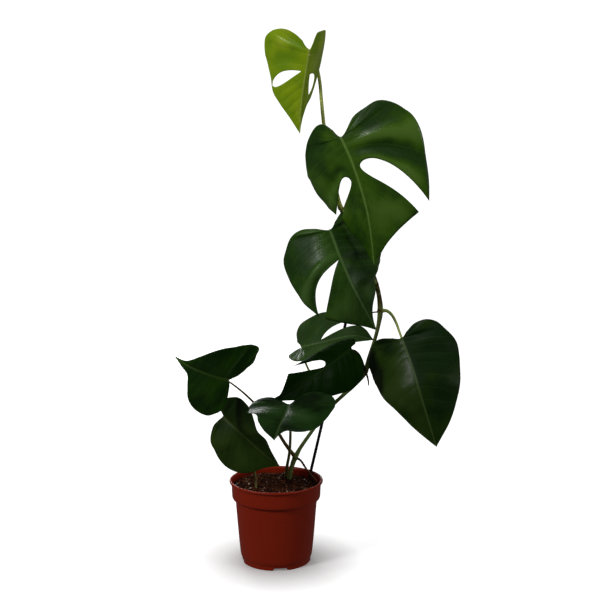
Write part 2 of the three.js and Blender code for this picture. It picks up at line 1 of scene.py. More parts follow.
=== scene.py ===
import bpy
import numpy as np
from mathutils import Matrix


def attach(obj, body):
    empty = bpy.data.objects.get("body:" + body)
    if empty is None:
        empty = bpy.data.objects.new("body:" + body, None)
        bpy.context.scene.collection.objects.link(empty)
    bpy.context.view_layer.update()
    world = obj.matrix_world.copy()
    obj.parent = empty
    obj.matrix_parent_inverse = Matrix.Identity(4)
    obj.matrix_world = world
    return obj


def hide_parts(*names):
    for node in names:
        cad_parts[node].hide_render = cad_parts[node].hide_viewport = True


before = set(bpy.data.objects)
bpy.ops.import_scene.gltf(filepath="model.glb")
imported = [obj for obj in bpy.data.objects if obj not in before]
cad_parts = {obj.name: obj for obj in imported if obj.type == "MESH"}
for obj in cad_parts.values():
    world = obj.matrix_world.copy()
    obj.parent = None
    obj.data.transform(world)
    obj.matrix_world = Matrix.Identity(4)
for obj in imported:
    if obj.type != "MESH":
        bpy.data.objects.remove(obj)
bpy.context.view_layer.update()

# Photographer's table
# Seamless white paper that lies flat under the plant and sweeps up all round it. Four soft lamps stand
# at the left, overhead, at the right and behind. The paper glows so that it reads as plain white, but its
# glow is dimmed round the pot's foot into a painted shadow.
CAMERA_PLACE = (0.0305, -1.5, 0.566)
CAMERA_PITCH = 81.4
CAMERA_LENS = 72.54
PLANT_MIDDLE = (0.04, 0.0, 0.35)
LAMPS = {
    "key_lamp": {"place": (-1.15, -1.0, 1.15), "size": 0.4, "watts": 10},
    "top_lamp": {"place": (-0.15, 0.1, 2.1), "size": 0.7, "watts": 6.5},
    "side_lamp": {"place": (1.25, -0.7, 0.75), "size": 0.4, "watts": 2.6},
    "back_lamp": {"place": (-0.4, 1.5, 0.5), "size": 0.5, "watts": 4.5},
}
ROOM_GLOW = 0.07
PAPER_FLAT = 2.2
PAPER_BEND = 1.0
PAPER_TOP = 5
PAPER_SIDES = 96
PAPER_TONES = ((0.92, 0.92, 0.92, 1), (0.95, 0.95, 0.95, 1))
PAPER_GLOW = {"near": 0.75, "near_radius": 0.3, "far": 1.0}
# A painted shadow round the pot's foot: within inner_radius the paper's glow falls to `glow` times itself,
# easing back to full by outer_radius.
FOOT_SHADE = {"inner_radius": 0.042, "outer_radius": 0.115, "glow": 0.2}


def sheet_faces(rows, columns, wrap=False):
    """Four-cornered faces between neighbours of a grid of points, wrapped from its last column to its
    first if asked."""
    row, column = np.meshgrid(np.arange(rows - 1), np.arange(columns - (not wrap)), indexing="ij")
    nearer, after = row * columns, (column + 1) % columns
    farther = nearer + columns
    return np.stack([nearer + column, nearer + after, farther + after, farther + column], -1).reshape(-1, 4)


def turned(profile, sides):
    """A profile spun round the upright axis: x = r cos a, y = r sin a, z = height, one row a point."""
    angle = np.linspace(0, 2 * np.pi, sides, endpoint=False)
    radius, height = profile[:, :1], profile[:, 1:2]
    return np.stack([radius * np.cos(angle), radius * np.sin(angle), height + 0 * angle], -1)


def start_finish(name):
    """An empty material to which nodes are then added."""
    finish = bpy.data.materials.new(name)
    finish.use_nodes = True
    finish.node_tree.nodes.clear()
    return finish


def add(finish, kind, feeds=None, **settings):
    """Adds one shader node. Each feed is another node's socket, which is linked, or a value."""
    node = finish.node_tree.nodes.new("ShaderNode" + kind)
    for key, value in settings.items():
        setattr(node, key, value)
    for key, value in (feeds or {}).items():
        if isinstance(value, bpy.types.NodeSocket):
            finish.node_tree.links.new(value, node.inputs[key])
        else:
            node.inputs[key].default_value = value
    return node


def on_piece(finish):
    """Where on the piece a point lies, in metres."""
    return add(finish, "TexCoord").outputs["Object"]


def blend(finish, factor, first, second, mode="MIX"):
    """Two colours mixed: first where the factor is 0 and second where it is 1."""
    feeds = {0: factor, 6: first, 7: second}
    return add(finish, "Mix", feeds, data_type="RGBA", blend_type=mode).outputs[2]


def noise(finish, where, scale, detail=4.0, roughness=0.55, warp=0.0):
    """Soft random marks about 1 / scale metres across, from 0 to 1."""
    feeds = {"Vector": where, "Scale": scale, "Detail": detail, "Roughness": roughness, "Distortion": warp}
    return add(finish, "TexNoise", feeds).outputs["Fac"]


def close_finish(finish, surface, bump=None, bump_depth=0.0003):
    """Joins the nodes to a surface shader whose feeds are given by socket name."""
    shader = add(finish, "BsdfPrincipled", surface)
    if bump is not None:
        relief = add(finish, "Bump", {"Height": bump, "Strength": 1.0, "Distance": bump_depth})
        finish.node_tree.links.new(relief.outputs[0], shader.inputs["Normal"])
    out = add(finish, "OutputMaterial")
    finish.node_tree.links.new(shader.outputs[0], out.inputs[0])
    return finish


def make_object(name, points, faces, finish):
    """A smooth mesh from points in metres, with its place in its mesh."""
    mesh = bpy.data.meshes.new(name)
    mesh.from_pydata(points.tolist(), [], faces if isinstance(faces, list) else faces.tolist())
    mesh.shade_smooth()
    mesh.materials.append(finish)
    made = bpy.data.objects.new(name, mesh)
    bpy.context.collection.objects.link(made)
    return made


camera = bpy.data.objects.new("camera", bpy.data.cameras.new("camera"))
camera.data.lens = CAMERA_LENS
camera.location = CAMERA_PLACE
camera.rotation_euler = (np.radians(CAMERA_PITCH), 0, 0)
bpy.context.collection.objects.link(camera)
bpy.context.scene.camera = camera

for lamp_name, lamp in LAMPS.items():
    light = bpy.data.lights.new(lamp_name, "AREA")
    light.size = lamp["size"]
    light.energy = lamp["watts"]
    stand = bpy.data.objects.new(lamp_name, light)
    stand.location = lamp["place"]
    back = np.array(lamp["place"]) - np.array(PLANT_MIDDLE)
    tilt = np.arccos(back[2] / np.linalg.norm(back))
    stand.rotation_euler = (tilt, 0, np.arctan2(back[1], back[0]) + np.pi / 2)
    stand.visible_camera = False
    bpy.context.collection.objects.link(stand)

room = bpy.data.worlds.new("room")
bpy.context.scene.world = room
room.use_nodes = True
room.node_tree.nodes["Background"].inputs["Strength"].default_value = ROOM_GLOW
room.node_tree.nodes["Background"].inputs["Color"].default_value = (1, 1, 1, 1)
bpy.context.scene.view_settings.view_transform = "Standard"

paper = start_finish("white_paper")
paper_place = on_piece(paper)
paper_tone = blend(paper, noise(paper, paper_place, 30), *PAPER_TONES)
from_plant = add(paper, "VectorMath", {0: paper_place}, operation="LENGTH").outputs["Value"]
glow = add(paper, "MapRange", {
    "Value": from_plant, "From Min": PAPER_GLOW["near_radius"], "From Max": PAPER_FLAT,
    "To Min": PAPER_GLOW["near"], "To Max": PAPER_GLOW["far"]}, interpolation_type="SMOOTHSTEP").outputs[0]
# Painted shadow: the paper's glow dims towards the pot's foot.
painted_foot_shadow = add(paper, "MapRange", {
    "Value": from_plant, "From Min": FOOT_SHADE["inner_radius"], "From Max": FOOT_SHADE["outer_radius"],
    "To Min": FOOT_SHADE["glow"], "To Max": 1.0}).outputs[0]
glow = add(paper, "Math", {0: glow, 1: painted_foot_shadow}, operation="MULTIPLY").outputs[0]
close_finish(paper, {
    "Base Color": paper_tone, "Roughness": 0.9, "Specular IOR Level": 0.0, "Emission Color": (1, 1, 1, 1),
    "Emission Strength": glow})
# The paper's profile: flat, then a quarter circle r = flat + bend sin a, z = bend (1 - cos a), then up.
bend = np.linspace(0, np.pi / 2, 25)
paper_profile = np.vstack([
    [[0, 0], [0.5, 0]],
    np.stack([PAPER_FLAT + PAPER_BEND * np.sin(bend), PAPER_BEND * (1 - np.cos(bend))], -1),
    [[PAPER_FLAT + PAPER_BEND, PAPER_TOP]]])
paper_rows = turned(paper_profile, PAPER_SIDES)
paper_sweep = make_object("paper_sweep", paper_rows.reshape(-1, 3),
                          sheet_faces(len(paper_rows), PAPER_SIDES, wrap=True), paper)
# The plant is lit by the lamps alone: the paper's own brightness neither lights nor mirrors in it.
paper_sweep.visible_diffuse = False
paper_sweep.visible_glossy = False

# Nursery pot
# One thin shell of terracotta-coloured polypropylene, injection moulded: a deep collar under a turned
# lip, a tapering body, a foot ring notched so that water can run out, and a floor with drain holes.
MM = 0.001
POT_HEIGHT = 107
RIM_RADIUS = 60
COLLAR_RADIUS = 57.4
COLLAR_FOOT = 84
BODY_TOP_RADIUS = 52.4
BODY_MIDDLE = (48.7, 35)
BODY_FOOT = (46.2, 10.1)
FOOT_RADIUS = 44
FOOT_INNER_RADIUS = 41.2
FOOT_HEIGHT = 5.6
WALL = 1.2
PAD_RADIUS = 29.6
CHANNEL = (31, 3.5)
DRAINS = {"count": 8, "radius": 4, "ring": 36}
NOTCHES = {"count": 4, "width": 19, "height": 3.4, "turn": 7.8, "end_rise": 5}
POT_SIDES = 288
DRILL_SIDES = 32


def linear(red, green, blue):
    """A colour as painters' charts give it, 0 to 255, turned into light: ((c + 0.055) / 1.055) ^ 2.4,
    or c / 12.92 where it is very dark."""
    c = np.array([red, green, blue]) / 255
    light = np.where(c > 0.04045, ((c + 0.055) / 1.055) ** 2.4, c / 12.92)
    return (*light.tolist(), 1.0)


def sums(finish, operation, first, second=0.0, third=0.0):
    """One sum on up to three numbers."""
    return add(finish, "Math", {0: first, 1: second, 2: third}, operation=operation).outputs[0]


def step_between(finish, value, low, high):
    """0 below low, 1 above high, and a smooth rise between."""
    feeds = {"Value": value, "From Min": low, "From Max": high}
    return add(finish, "MapRange", feeds, interpolation_type="SMOOTHSTEP").outputs[0]


def softened(corners, steps=5):
    """A profile whose corners are rounded: each (radius, height, softness) corner becomes a short
    quadratic curve that starts and ends `softness` before and after it."""
    flat = np.array([corner[:2] for corner in corners], float)
    rows = [flat[:1]]
    t = np.linspace(0, 1, steps)[:, None]
    for before, here, after, (_, _, soft) in zip(flat, flat[1:], flat[2:], corners[1:-1]):
        to_before, to_after = before - here, after - here
        start = here + to_before * min(soft / np.linalg.norm(to_before), 0.5)
        end = here + to_after * min(soft / np.linalg.norm(to_after), 0.5)
        rows.append((1 - t) ** 2 * start + 2 * t * (1 - t) * here + t**2 * end)
    return np.vstack([*rows, flat[-1:]])


def filled_in(profile, longest):
    """The same profile with extra points, so that no stretch of it is longer than asked."""
    rows = []
    for start, end in zip(profile, profile[1:]):
        pieces = max(int(np.ceil(np.linalg.norm(end - start) / longest)), 1)
        rows.append(start + (end - start) * np.linspace(0, 1, pieces, endpoint=False)[:, None])
    return np.vstack([*rows, profile[-1:]])


def repeated(faces, count):
    """The faces of one shape, given again for each of its copies."""
    return (faces[None] + (faces.max() + 1) * np.arange(count)[:, None, None]).reshape(-1, 4)


def store_numbers(piece, name, values):
    """Stores one number a point on the mesh, under a name that its material reads."""
    stored = piece.data.attributes.new(name, "FLOAT", "POINT")
    stored.data.foreach_set("value", np.ascontiguousarray(values, float))


def shared_places(points):
    """Finds points in millimetres that share a place to 0.1 micrometre: which point is the first at each
    place, and at which place every point lies."""
    keys = np.round(points * 1e4).astype(np.int64)
    _, first, place = np.unique(keys, axis=0, return_index=True, return_inverse=True)
    return first, place.ravel()


def welded_piece(name, points, quads, finish, **attributes):
    """A piece from points in millimetres, joined where they share a place; a face with two joined
    corners becomes a triangle. Each attribute holds one number for each given point."""
    points = points.reshape(-1, 3)
    first, place = shared_places(points)
    quads = place[quads]
    doubled = quads == np.roll(quads, -1, axis=1)
    faces = quads[doubled.sum(1) == 0].tolist()
    for corner in range(4):
        faces += np.delete(quads[(doubled.sum(1) == 1) & doubled[:, corner]], corner, axis=1).tolist()
    piece = make_object(name, points[first] * MM, faces, finish)
    for key, values in attributes.items():
        store_numbers(piece, key, values.ravel()[first])
    return piece


def declare(piece, slot, *replaced):
    """The piece rides on the plant's one body and stands for nodes; the slot is not used."""
    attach(piece, "root")
    if replaced:
        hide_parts(*replaced)


floor_top = CHANNEL[1] + WALL
pot_profile = softened([
    (0, 0, 0), (PAD_RADIUS, 0, 1), (*CHANNEL, 1), (FOOT_INNER_RADIUS, CHANNEL[1], 0.6),
    (FOOT_INNER_RADIUS, 0, 0.5), (FOOT_RADIUS, 0, 0.9), (FOOT_RADIUS + 0.2, FOOT_HEIGHT, 0.5),
    (FOOT_RADIUS + 1.1, FOOT_HEIGHT + 1, 0.8), (*BODY_FOOT, 3), (*BODY_MIDDLE, 12),
    (BODY_TOP_RADIUS, COLLAR_FOOT - 1.2, 0.9), (COLLAR_RADIUS - 1.6, COLLAR_FOOT - 0.9, 1.2),
    (COLLAR_RADIUS - 0.8, COLLAR_FOOT + 1.4, 1.6), (COLLAR_RADIUS, POT_HEIGHT - 3.8, 1),
    (RIM_RADIUS - 0.3, POT_HEIGHT - 3.1, 0.8), (RIM_RADIUS, POT_HEIGHT - 1.4, 0.8),
    (RIM_RADIUS - 0.5, POT_HEIGHT, 0.7), (RIM_RADIUS - 2.4, POT_HEIGHT, 0.8),
    (COLLAR_RADIUS - WALL, POT_HEIGHT - 2.2, 1), (COLLAR_RADIUS - WALL - 0.9, COLLAR_FOOT + 1.2, 1.5),
    (BODY_TOP_RADIUS - WALL, COLLAR_FOOT - 1.6, 1.5), (BODY_MIDDLE[0] - WALL, BODY_MIDDLE[1], 12),
    (BODY_FOOT[0] - WALL, BODY_FOOT[1], 3), (FOOT_RADIUS - 0.6, floor_top, 1.5),
    (CHANNEL[0] - 0.7, floor_top, 1), (PAD_RADIUS - 0.7, WALL, 1), (0, WALL, 0),
])
pot_rows = turned(filled_in(pot_profile, 3), POT_SIDES)
# Each notch lifts the foot ring's lower edge: (height - z) at its middle, falling to 0 at its sides.
from_notch = (np.arctan2(pot_rows[..., 1], pot_rows[..., 0]) - np.radians(NOTCHES["turn"] - 90)) % (
    2 * np.pi / NOTCHES["count"])
from_notch = np.minimum(from_notch, 2 * np.pi / NOTCHES["count"] - from_notch)
across_notch = FOOT_RADIUS * from_notch / (NOTCHES["width"] / 2)
notch_lift = NOTCHES["height"] * np.clip((1 - across_notch) * NOTCHES["end_rise"], 0, 1) ** 0.5
on_ring = np.hypot(pot_rows[..., 0], pot_rows[..., 1]) > FOOT_INNER_RADIUS - 0.6
lifted = on_ring & (pot_rows[..., 2] < notch_lift)
pot_rows[..., 2] = np.where(lifted, notch_lift, pot_rows[..., 2])

terracotta = start_finish("terracotta_plastic")
pot_place = on_piece(terracotta)
broad = noise(terracotta, pot_place, 18, 3)
fine = noise(terracotta, pot_place, 900, 5, 0.7)
pot_colour = blend(terracotta, broad, linear(166, 43, 12), linear(186, 50, 16))
fine_marks = step_between(terracotta, fine, 0.35, 0.75)
pot_colour = blend(terracotta, fine_marks, pot_colour, linear(152, 37, 11))
# Dried soil specks, strewn in random patches.
specks = step_between(terracotta, noise(terracotta, pot_place, 420, 3, 0.6), 0.66, 0.72)
patches = step_between(terracotta, noise(terracotta, pot_place, 45, 2), 0.5, 0.68)
dirt = sums(terracotta, "MULTIPLY", specks, patches)
pot_colour = blend(terracotta, dirt, pot_colour, linear(61, 33, 25))
gloss = sums(terracotta, "MULTIPLY_ADD", broad, 0.12, 0.34)
gloss = sums(terracotta, "MULTIPLY_ADD", dirt, 0.35, gloss)
close_finish(terracotta, {"Base Color": pot_colour, "Roughness": gloss, "Specular IOR Level": 0.3},
             sums(terracotta, "MULTIPLY_ADD", broad, 2, fine), 0.00006)
nursery_pot = welded_piece(
    "pot_shell", pot_rows, sheet_faces(len(pot_rows), POT_SIDES, wrap=True)[:, ::-1], terracotta)

# The drills are short cylinders on a ring, joined into one mesh that is then taken away from the pot.
drain_angle = np.linspace(0, 2 * np.pi, DRAINS["count"], endpoint=False)
drill_profile = np.array([[0, 0], [DRAINS["radius"], 0], [DRAINS["radius"], 5], [0, 5]], float)
drill_centre = np.stack([DRAINS["ring"] * np.cos(drain_angle), DRAINS["ring"] * np.sin(drain_angle),
                         2 + 0 * drain_angle], -1)
drills = turned(drill_profile, DRILL_SIDES) + drill_centre[:, None, None]
drill_object = welded_piece("drill", drills, repeated(
    sheet_faces(len(drill_profile), DRILL_SIDES, wrap=True)[:, ::-1], DRAINS["count"]), terracotta)
cut = nursery_pot.modifiers.new("drain_holes", "BOOLEAN")
cut.operation = "DIFFERENCE"
cut.object = drill_object
cut_pot = nursery_pot.evaluated_get(bpy.context.evaluated_depsgraph_get())
cut_mesh = bpy.data.meshes.new_from_object(cut_pot)
nursery_pot.modifiers.clear()
nursery_pot.data = cut_mesh
bpy.data.objects.remove(drill_object)
declare(nursery_pot, "pot_plastic", "nursery_pot")

# Potting soil
# A bark and peat mix, watered and settled, mounded round the stems and a few millimetres below the
# lip at the right. Loose bark fibres, chips and perlite lie on it.
SOIL_TOP = 103.4
SOIL_DROP = 5.5
SOIL_LEAN = 1.6
SOIL_WALL_GAP = 0.3
SOIL_EDGE_RADIUS = 55
SOIL_SIDES = 300
SOIL_RINGS = 110
FIELD_CELLS = 128
FIELD_CENTRE = 60.5
rng = np.random.default_rng(7)


def random_field(seed, cells):
    """Smooth random hills over x and y, from -1 to 1: seeded random heights at the corners of square
    cells of the given size, eased between corners by 3t^2 - 2t^3."""
    heights = np.random.default_rng(seed).uniform(-1, 1, (FIELD_CELLS, FIELD_CELLS))

    def height_at(x, y):
        u, v = x / cells + FIELD_CENTRE, y / cells + FIELD_CENTRE
        i, j = np.floor(u).astype(int), np.floor(v).astype(int)
        s, t = u - i, v - j
        s, t = s * s * (3 - 2 * s), t * t * (3 - 2 * t)
        i, j = i % (FIELD_CELLS - 1), j % (FIELD_CELLS - 1)
        near = heights[i, j] * (1 - s) + heights[i + 1, j] * s
        far = heights[i, j + 1] * (1 - s) + heights[i + 1, j + 1] * s
        return near * (1 - t) + far * t

    return height_at


# The rough top is hills of five sizes: (seed, size, height).
SOIL_HILLS = [(1, 14, 0.9), (2, 6, 0.9), (3, 2.8, 0.75), (4, 1.3, 0.4), (5, 0.7, 0.2)]
hills = [(random_field(seed, cells), height) for seed, cells, height in SOIL_HILLS]


def soil_height(x, y):
    """The soil's top at x, y in millimetres: a mound that drops by the square of the radius, leans to
    the right, and is rough with hills of five sizes."""
    out = np.hypot(x, y) / SOIL_EDGE_RADIUS
    rough = sum(height * field(x, y) for field, height in hills)
    calm = np.clip((1 - out) * 12, 0, 1)
    return SOIL_TOP - SOIL_DROP * out**2.6 - SOIL_LEAN * x / RIM_RADIUS + rough * (0.35 + 0.65 * calm)


wall_profile = filled_in(np.array([
    [0, WALL + SOIL_WALL_GAP], [PAD_RADIUS - 1.1, WALL + SOIL_WALL_GAP],
    [CHANNEL[0] - 1.1, floor_top + SOIL_WALL_GAP], [FOOT_RADIUS - 1.4, floor_top + SOIL_WALL_GAP],
    [BODY_FOOT[0] - WALL - 0.5, BODY_FOOT[1]], [BODY_MIDDLE[0] - WALL - 0.5, BODY_MIDDLE[1]],
    [BODY_TOP_RADIUS - WALL - 0.6, COLLAR_FOOT - 1.4], [SOIL_EDGE_RADIUS - 0.5, COLLAR_FOOT + 1.8],
    [SOIL_EDGE_RADIUS, SOIL_TOP - SOIL_DROP - 3]], float), 6)
wall_rows = turned(wall_profile, SOIL_SIDES)
ring_radius = SOIL_EDGE_RADIUS * np.linspace(1, 0, SOIL_RINGS) ** 0.8
top_rows = turned(np.stack([ring_radius, 0 * ring_radius], -1), SOIL_SIDES)
top_rows[..., 2] = soil_height(top_rows[..., 0], top_rows[..., 1])
soil_rows = np.concatenate([wall_rows, top_rows])

peat = start_finish("peat_and_bark")
soil_place = on_piece(peat)
crumbs = noise(peat, soil_place, 600, 6, 0.7)
clods = noise(peat, soil_place, 150, 4, 0.6, 0.6)
flecks = noise(peat, soil_place, 1400, 3)
soil_colour = linear(17, 9, 7)
for marks, low, high, tone in ((clods, 0.38, 0.62, (46, 25, 18)), (crumbs, 0.55, 0.7, (84, 48, 32)),
                               (flecks, 0.66, 0.74, (122, 86, 61))):
    soil_colour = blend(peat, step_between(peat, marks, low, high), soil_colour, linear(*tone))
close_finish(peat, {"Base Color": soil_colour, "Roughness": 0.9, "Specular IOR Level": 0.03},
             sums(peat, "MULTIPLY_ADD", clods, 2, crumbs), 0.0009)
soil_surface = welded_piece(
    "soil_surface", soil_rows, sheet_faces(len(soil_rows), SOIL_SIDES, wrap=True)[:, ::-1], peat)
declare(soil_surface, "soil", "potting_soil")


def reading(finish, name):
    """The number that the mesh holds under a name at each point."""
    return add(finish, "Attribute", attribute_name=name).outputs["Fac"]


def strands(starts, directions, lengths, radii, bends, lifts, stations=7, sides=5):
    """Many short tapered rods at once, one row of points for each. Each runs from its start along its
    direction, turned sideways by bend x t^2 and raised by 4 x lift x t (1 - t), with radius
    x (1 - 0.6 (2t - 1)^2) at t, and is drawn to a point at each end."""
    t = np.linspace(0, 1, stations)[None, :, None]
    up = np.array([0, 0, 1])
    side = np.stack([-directions[:, 1], directions[:, 0], 0 * directions[:, 0]], -1)
    line = starts[:, None] + directions[:, None] * lengths[:, None, None] * t
    line = line + side[:, None] * bends[:, None, None] * t**2
    line = line + up * lifts[:, None, None] * 4 * t * (1 - t)
    angle = np.linspace(0, 2 * np.pi, sides, endpoint=False)[:, None]
    girth = radii[:, None, None] * (1 - 0.6 * (2 * t - 1) ** 2)
    body = line[:, :, None] + (side[:, None, None] * np.cos(angle) + up * np.sin(angle)) * girth[..., None]
    first, last = (np.repeat(line[:, end, None], sides, axis=1)[:, None] for end in (0, -1))
    rods = np.concatenate([first, body, last], axis=1).reshape(len(starts), -1, 3)
    return rods, repeated(sheet_faces(stations + 2, sides, wrap=True), len(starts))


def scattered(count, reach, spread=0.5):
    """Seeded random places on the soil, each (x, y), no farther than reach from the axis."""
    angle = rng.uniform(0, 2 * np.pi, count)
    radius = reach * rng.uniform(0, 1, count) ** spread
    return np.stack([radius * np.cos(angle), radius * np.sin(angle)], -1)


FIBRES = 620
FIBRE_REACH = 51
FIBRE_END_REACH = 53
fibre_place = scattered(FIBRES, FIBRE_REACH)
fibre_heading = rng.uniform(0, 2 * np.pi, FIBRES)
fibre_length = rng.uniform(4, 17, FIBRES)
fibre_step = np.stack([np.cos(fibre_heading), np.sin(fibre_heading)], -1)
fibre_end = fibre_place + fibre_step * fibre_length[:, None]
inside_pot = np.hypot(*fibre_end.T) < FIBRE_END_REACH
fibre_place, fibre_end = fibre_place[inside_pot], fibre_end[inside_pot]
fibre_step, fibre_length = fibre_step[inside_pot], fibre_length[inside_pot]
fibre_count = len(fibre_place)
start_height, end_height = soil_height(*fibre_place.T), soil_height(*fibre_end.T)
fibre_start = np.column_stack([fibre_place, start_height + 0.15])
fibre_rise = (end_height - start_height) / fibre_length
fibre_direction = np.column_stack([fibre_step, fibre_rise])
fibre_radius = rng.uniform(0.16, 0.55, fibre_count)
fibre_points, fibre_faces = strands(
    fibre_start, fibre_direction, fibre_length, fibre_radius,
    rng.uniform(-3, 3, fibre_count), rng.uniform(0, 1.6, fibre_count))
fibre_tone = np.repeat(rng.uniform(0, 1, fibre_count), fibre_points.shape[1])

bark = start_finish("bark_fibre")
bark_grain = noise(bark, on_piece(bark), 1500, 4, 0.7)
bark_colour = blend(bark, reading(bark, "tone"), linear(42, 22, 16), linear(133, 75, 44))
bark_colour = blend(bark, step_between(bark, bark_grain, 0.4, 0.7), bark_colour, linear(61, 36, 24))
close_finish(bark, {"Base Color": bark_colour, "Roughness": 0.8, "Specular IOR Level": 0.05},
             bark_grain, 0.0004)
declare(welded_piece("bark_fibres", fibre_points, fibre_faces, bark, tone=fibre_tone), "soil")


def crumbled(centres, sizes, seed, rows=7, sides=9):
    """Many lumps at once, one row of points for each: a ball squashed to its three sizes, its radius
    roughened by sin(3a + 2b + phase) and seeded random steps, and turned by its own random angle."""
    draw = np.random.default_rng(seed)
    count = len(centres)
    tilt = np.linspace(0, np.pi, rows)[:, None]
    turn = np.linspace(0, 2 * np.pi, sides, endpoint=False)[None]
    ball = np.stack([np.sin(tilt) * np.cos(turn), np.sin(tilt) * np.sin(turn), np.cos(tilt) + 0 * turn], -1)
    phase = draw.uniform(0, 6.28, count)[:, None, None]
    rough = 1 + 0.16 * np.sin(3 * turn + 2 * tilt + phase) + 0.13 * draw.uniform(-1, 1, (count, rows, sides))
    rough[:, 0], rough[:, -1] = 1, 1
    x, y, z = np.moveaxis(ball[None] * rough[..., None] * sizes[:, None, None], -1, 0)
    spin = draw.uniform(0, 6.28, count)[:, None, None]
    lumps = np.stack([x * np.cos(spin) - y * np.sin(spin), x * np.sin(spin) + y * np.cos(spin), z], -1)
    lumps = (lumps + centres[:, None, None]).reshape(count, -1, 3)
    return lumps, repeated(sheet_faces(rows, sides, wrap=True)[:, ::-1], count)


CHIPS = 260
chip_place = scattered(CHIPS, 52)
chip_size = rng.uniform(0.9, 3.2, (CHIPS, 1)) * rng.uniform((0.7, 0.4, 0.25), (1.2, 0.8, 0.5), (CHIPS, 3))
chip_centre = np.column_stack([chip_place, soil_height(*chip_place.T) + chip_size[:, 2] * 0.3])
chip_points, chip_faces = crumbled(chip_centre, chip_size, 21)
chip_tone = np.repeat(rng.uniform(0, 0.8, CHIPS), chip_points.shape[1])
declare(welded_piece("bark_chips", chip_points, chip_faces, bark, tone=chip_tone), "soil")

perlite = start_finish("perlite")
pits = noise(perlite, on_piece(perlite), 1800, 5, 0.7)
perlite_colour = blend(
    perlite, step_between(perlite, pits, 0.35, 0.6), linear(128, 112, 96), linear(214, 200, 186))
close_finish(perlite, {"Base Color": perlite_colour, "Roughness": 0.85, "Specular IOR Level": 0.1},
             pits, 0.0005)
# The grains that the eye finds first, each (x, y, radius), and smaller ones strewn about.
SEEN_GRAINS = np.array([
    (-52, -9, 2.0), (-32, -24, 1.5), (-12, -6, 1.2), (6, 26, 1.5), (24, 8, 1.3), (36, 14, 1.3),
    (-10, -46, 1.1), (22, -43, 1.1)])
SMALL_GRAINS = 46
grain_place = np.vstack([SEEN_GRAINS[:, :2], scattered(SMALL_GRAINS, 51)])
grain_size = np.concatenate([SEEN_GRAINS[:, 2], rng.uniform(0.5, 1.2, SMALL_GRAINS)])
grain_sizes = grain_size[:, None] * rng.uniform(0.75, 1.1, (len(grain_size), 3))
grain_centre = np.column_stack([grain_place, soil_height(*grain_place.T) + grain_size * 0.45])
declare(welded_piece("perlite_grains", *crumbled(grain_centre, grain_sizes, 22), perlite), "soil")

# Support stake
# One straight black plastic-coated rod, pushed into the soil behind the stem and leaning back. It
# holds nothing any more: the plant has grown away from it.
STAKE_PATH = [(23, 7.8, 20), (103, 92.6, 345)]
STAKE_RADIUS = 1.95
STAKE_STEP = 3
STAKE_SIDES = 24
STAKE_SOIL = {"full_below": 0.103, "none_above": 0.125}
END_ROWS = 4
ROUND_END_HEIGHTS = (0.9, 0.95)
FLAT_END_HEIGHTS = (0.05, 0.05)


def rounded_line(path, points_in, gentle=False):
    """A dense Catmull-Rom curve through a path's points, and the distance run at each place: each span
    is the cubic that leaves one point and reaches the next along tangents from the points beside them.
    Points_in gives the number of places on a span from its length. Gentle keeps the knots equally far
    apart; otherwise they go by the square root of the distance."""
    p = np.asarray(path, float)
    p = np.vstack([2 * p[0] - p[1], p, 2 * p[-1] - p[-2]])
    rows = []
    for a, b, c, d in zip(p, p[1:], p[2:], p[3:]):
        k = [1.0 if gentle else np.linalg.norm(end - start) ** 0.5 for start, end in ((a, b), (b, c), (c, d))]
        leave = ((b - a) / k[0] - (c - a) / (k[0] + k[1]) + (c - b) / k[1]) * k[1]
        reach = ((c - b) / k[1] - (d - b) / (k[1] + k[2]) + (d - c) / k[2]) * k[1]
        t = np.linspace(0, 1, points_in(np.linalg.norm(c - b)), endpoint=False)[:, None]
        rows.append((2 * t**3 - 3 * t**2 + 1) * b + (t**3 - 2 * t**2 + t) * leave
                    + (3 * t**2 - 2 * t**3) * c + (t**3 - t**2) * reach)
    dense = np.vstack([*rows, p[-2:-1]])
    run = np.concatenate([[0], np.cumsum(np.linalg.norm(np.diff(dense, axis=0), axis=1))])
    return dense, run


def read_off(distance, run, rows):
    """Three numbers at distances run along a line, between those at its points."""
    return np.stack([np.interp(distance, run, rows[:, axis]) for axis in range(3)], -1)


def smooth_line(path, step):
    """Points about `step` apart on the curve through a path, and the distance run at each."""
    dense, run = rounded_line(path, lambda length: max(int(length / step), 2) * 4)
    even = np.linspace(0, run[-1], max(int(run[-1] / step), 4) + 1)
    return read_off(even, run, dense), even


def travelling_frames(line):
    """Tangent, side and rise at each point of a line. The side is carried from point to point with as
    little twist as can be: each time it loses its part along the new tangent."""
    tangent = np.gradient(line, axis=0)
    tangent /= np.linalg.norm(tangent, axis=1)[:, None]
    side = np.cross(tangent[0], (0.3, 1, 0.2))
    sides = []
    for heading in tangent:
        side = side - heading * (side @ heading)
        side = side / np.linalg.norm(side)
        sides.append(side)
    sides = np.array(sides)
    return tangent, sides, np.cross(tangent, sides)


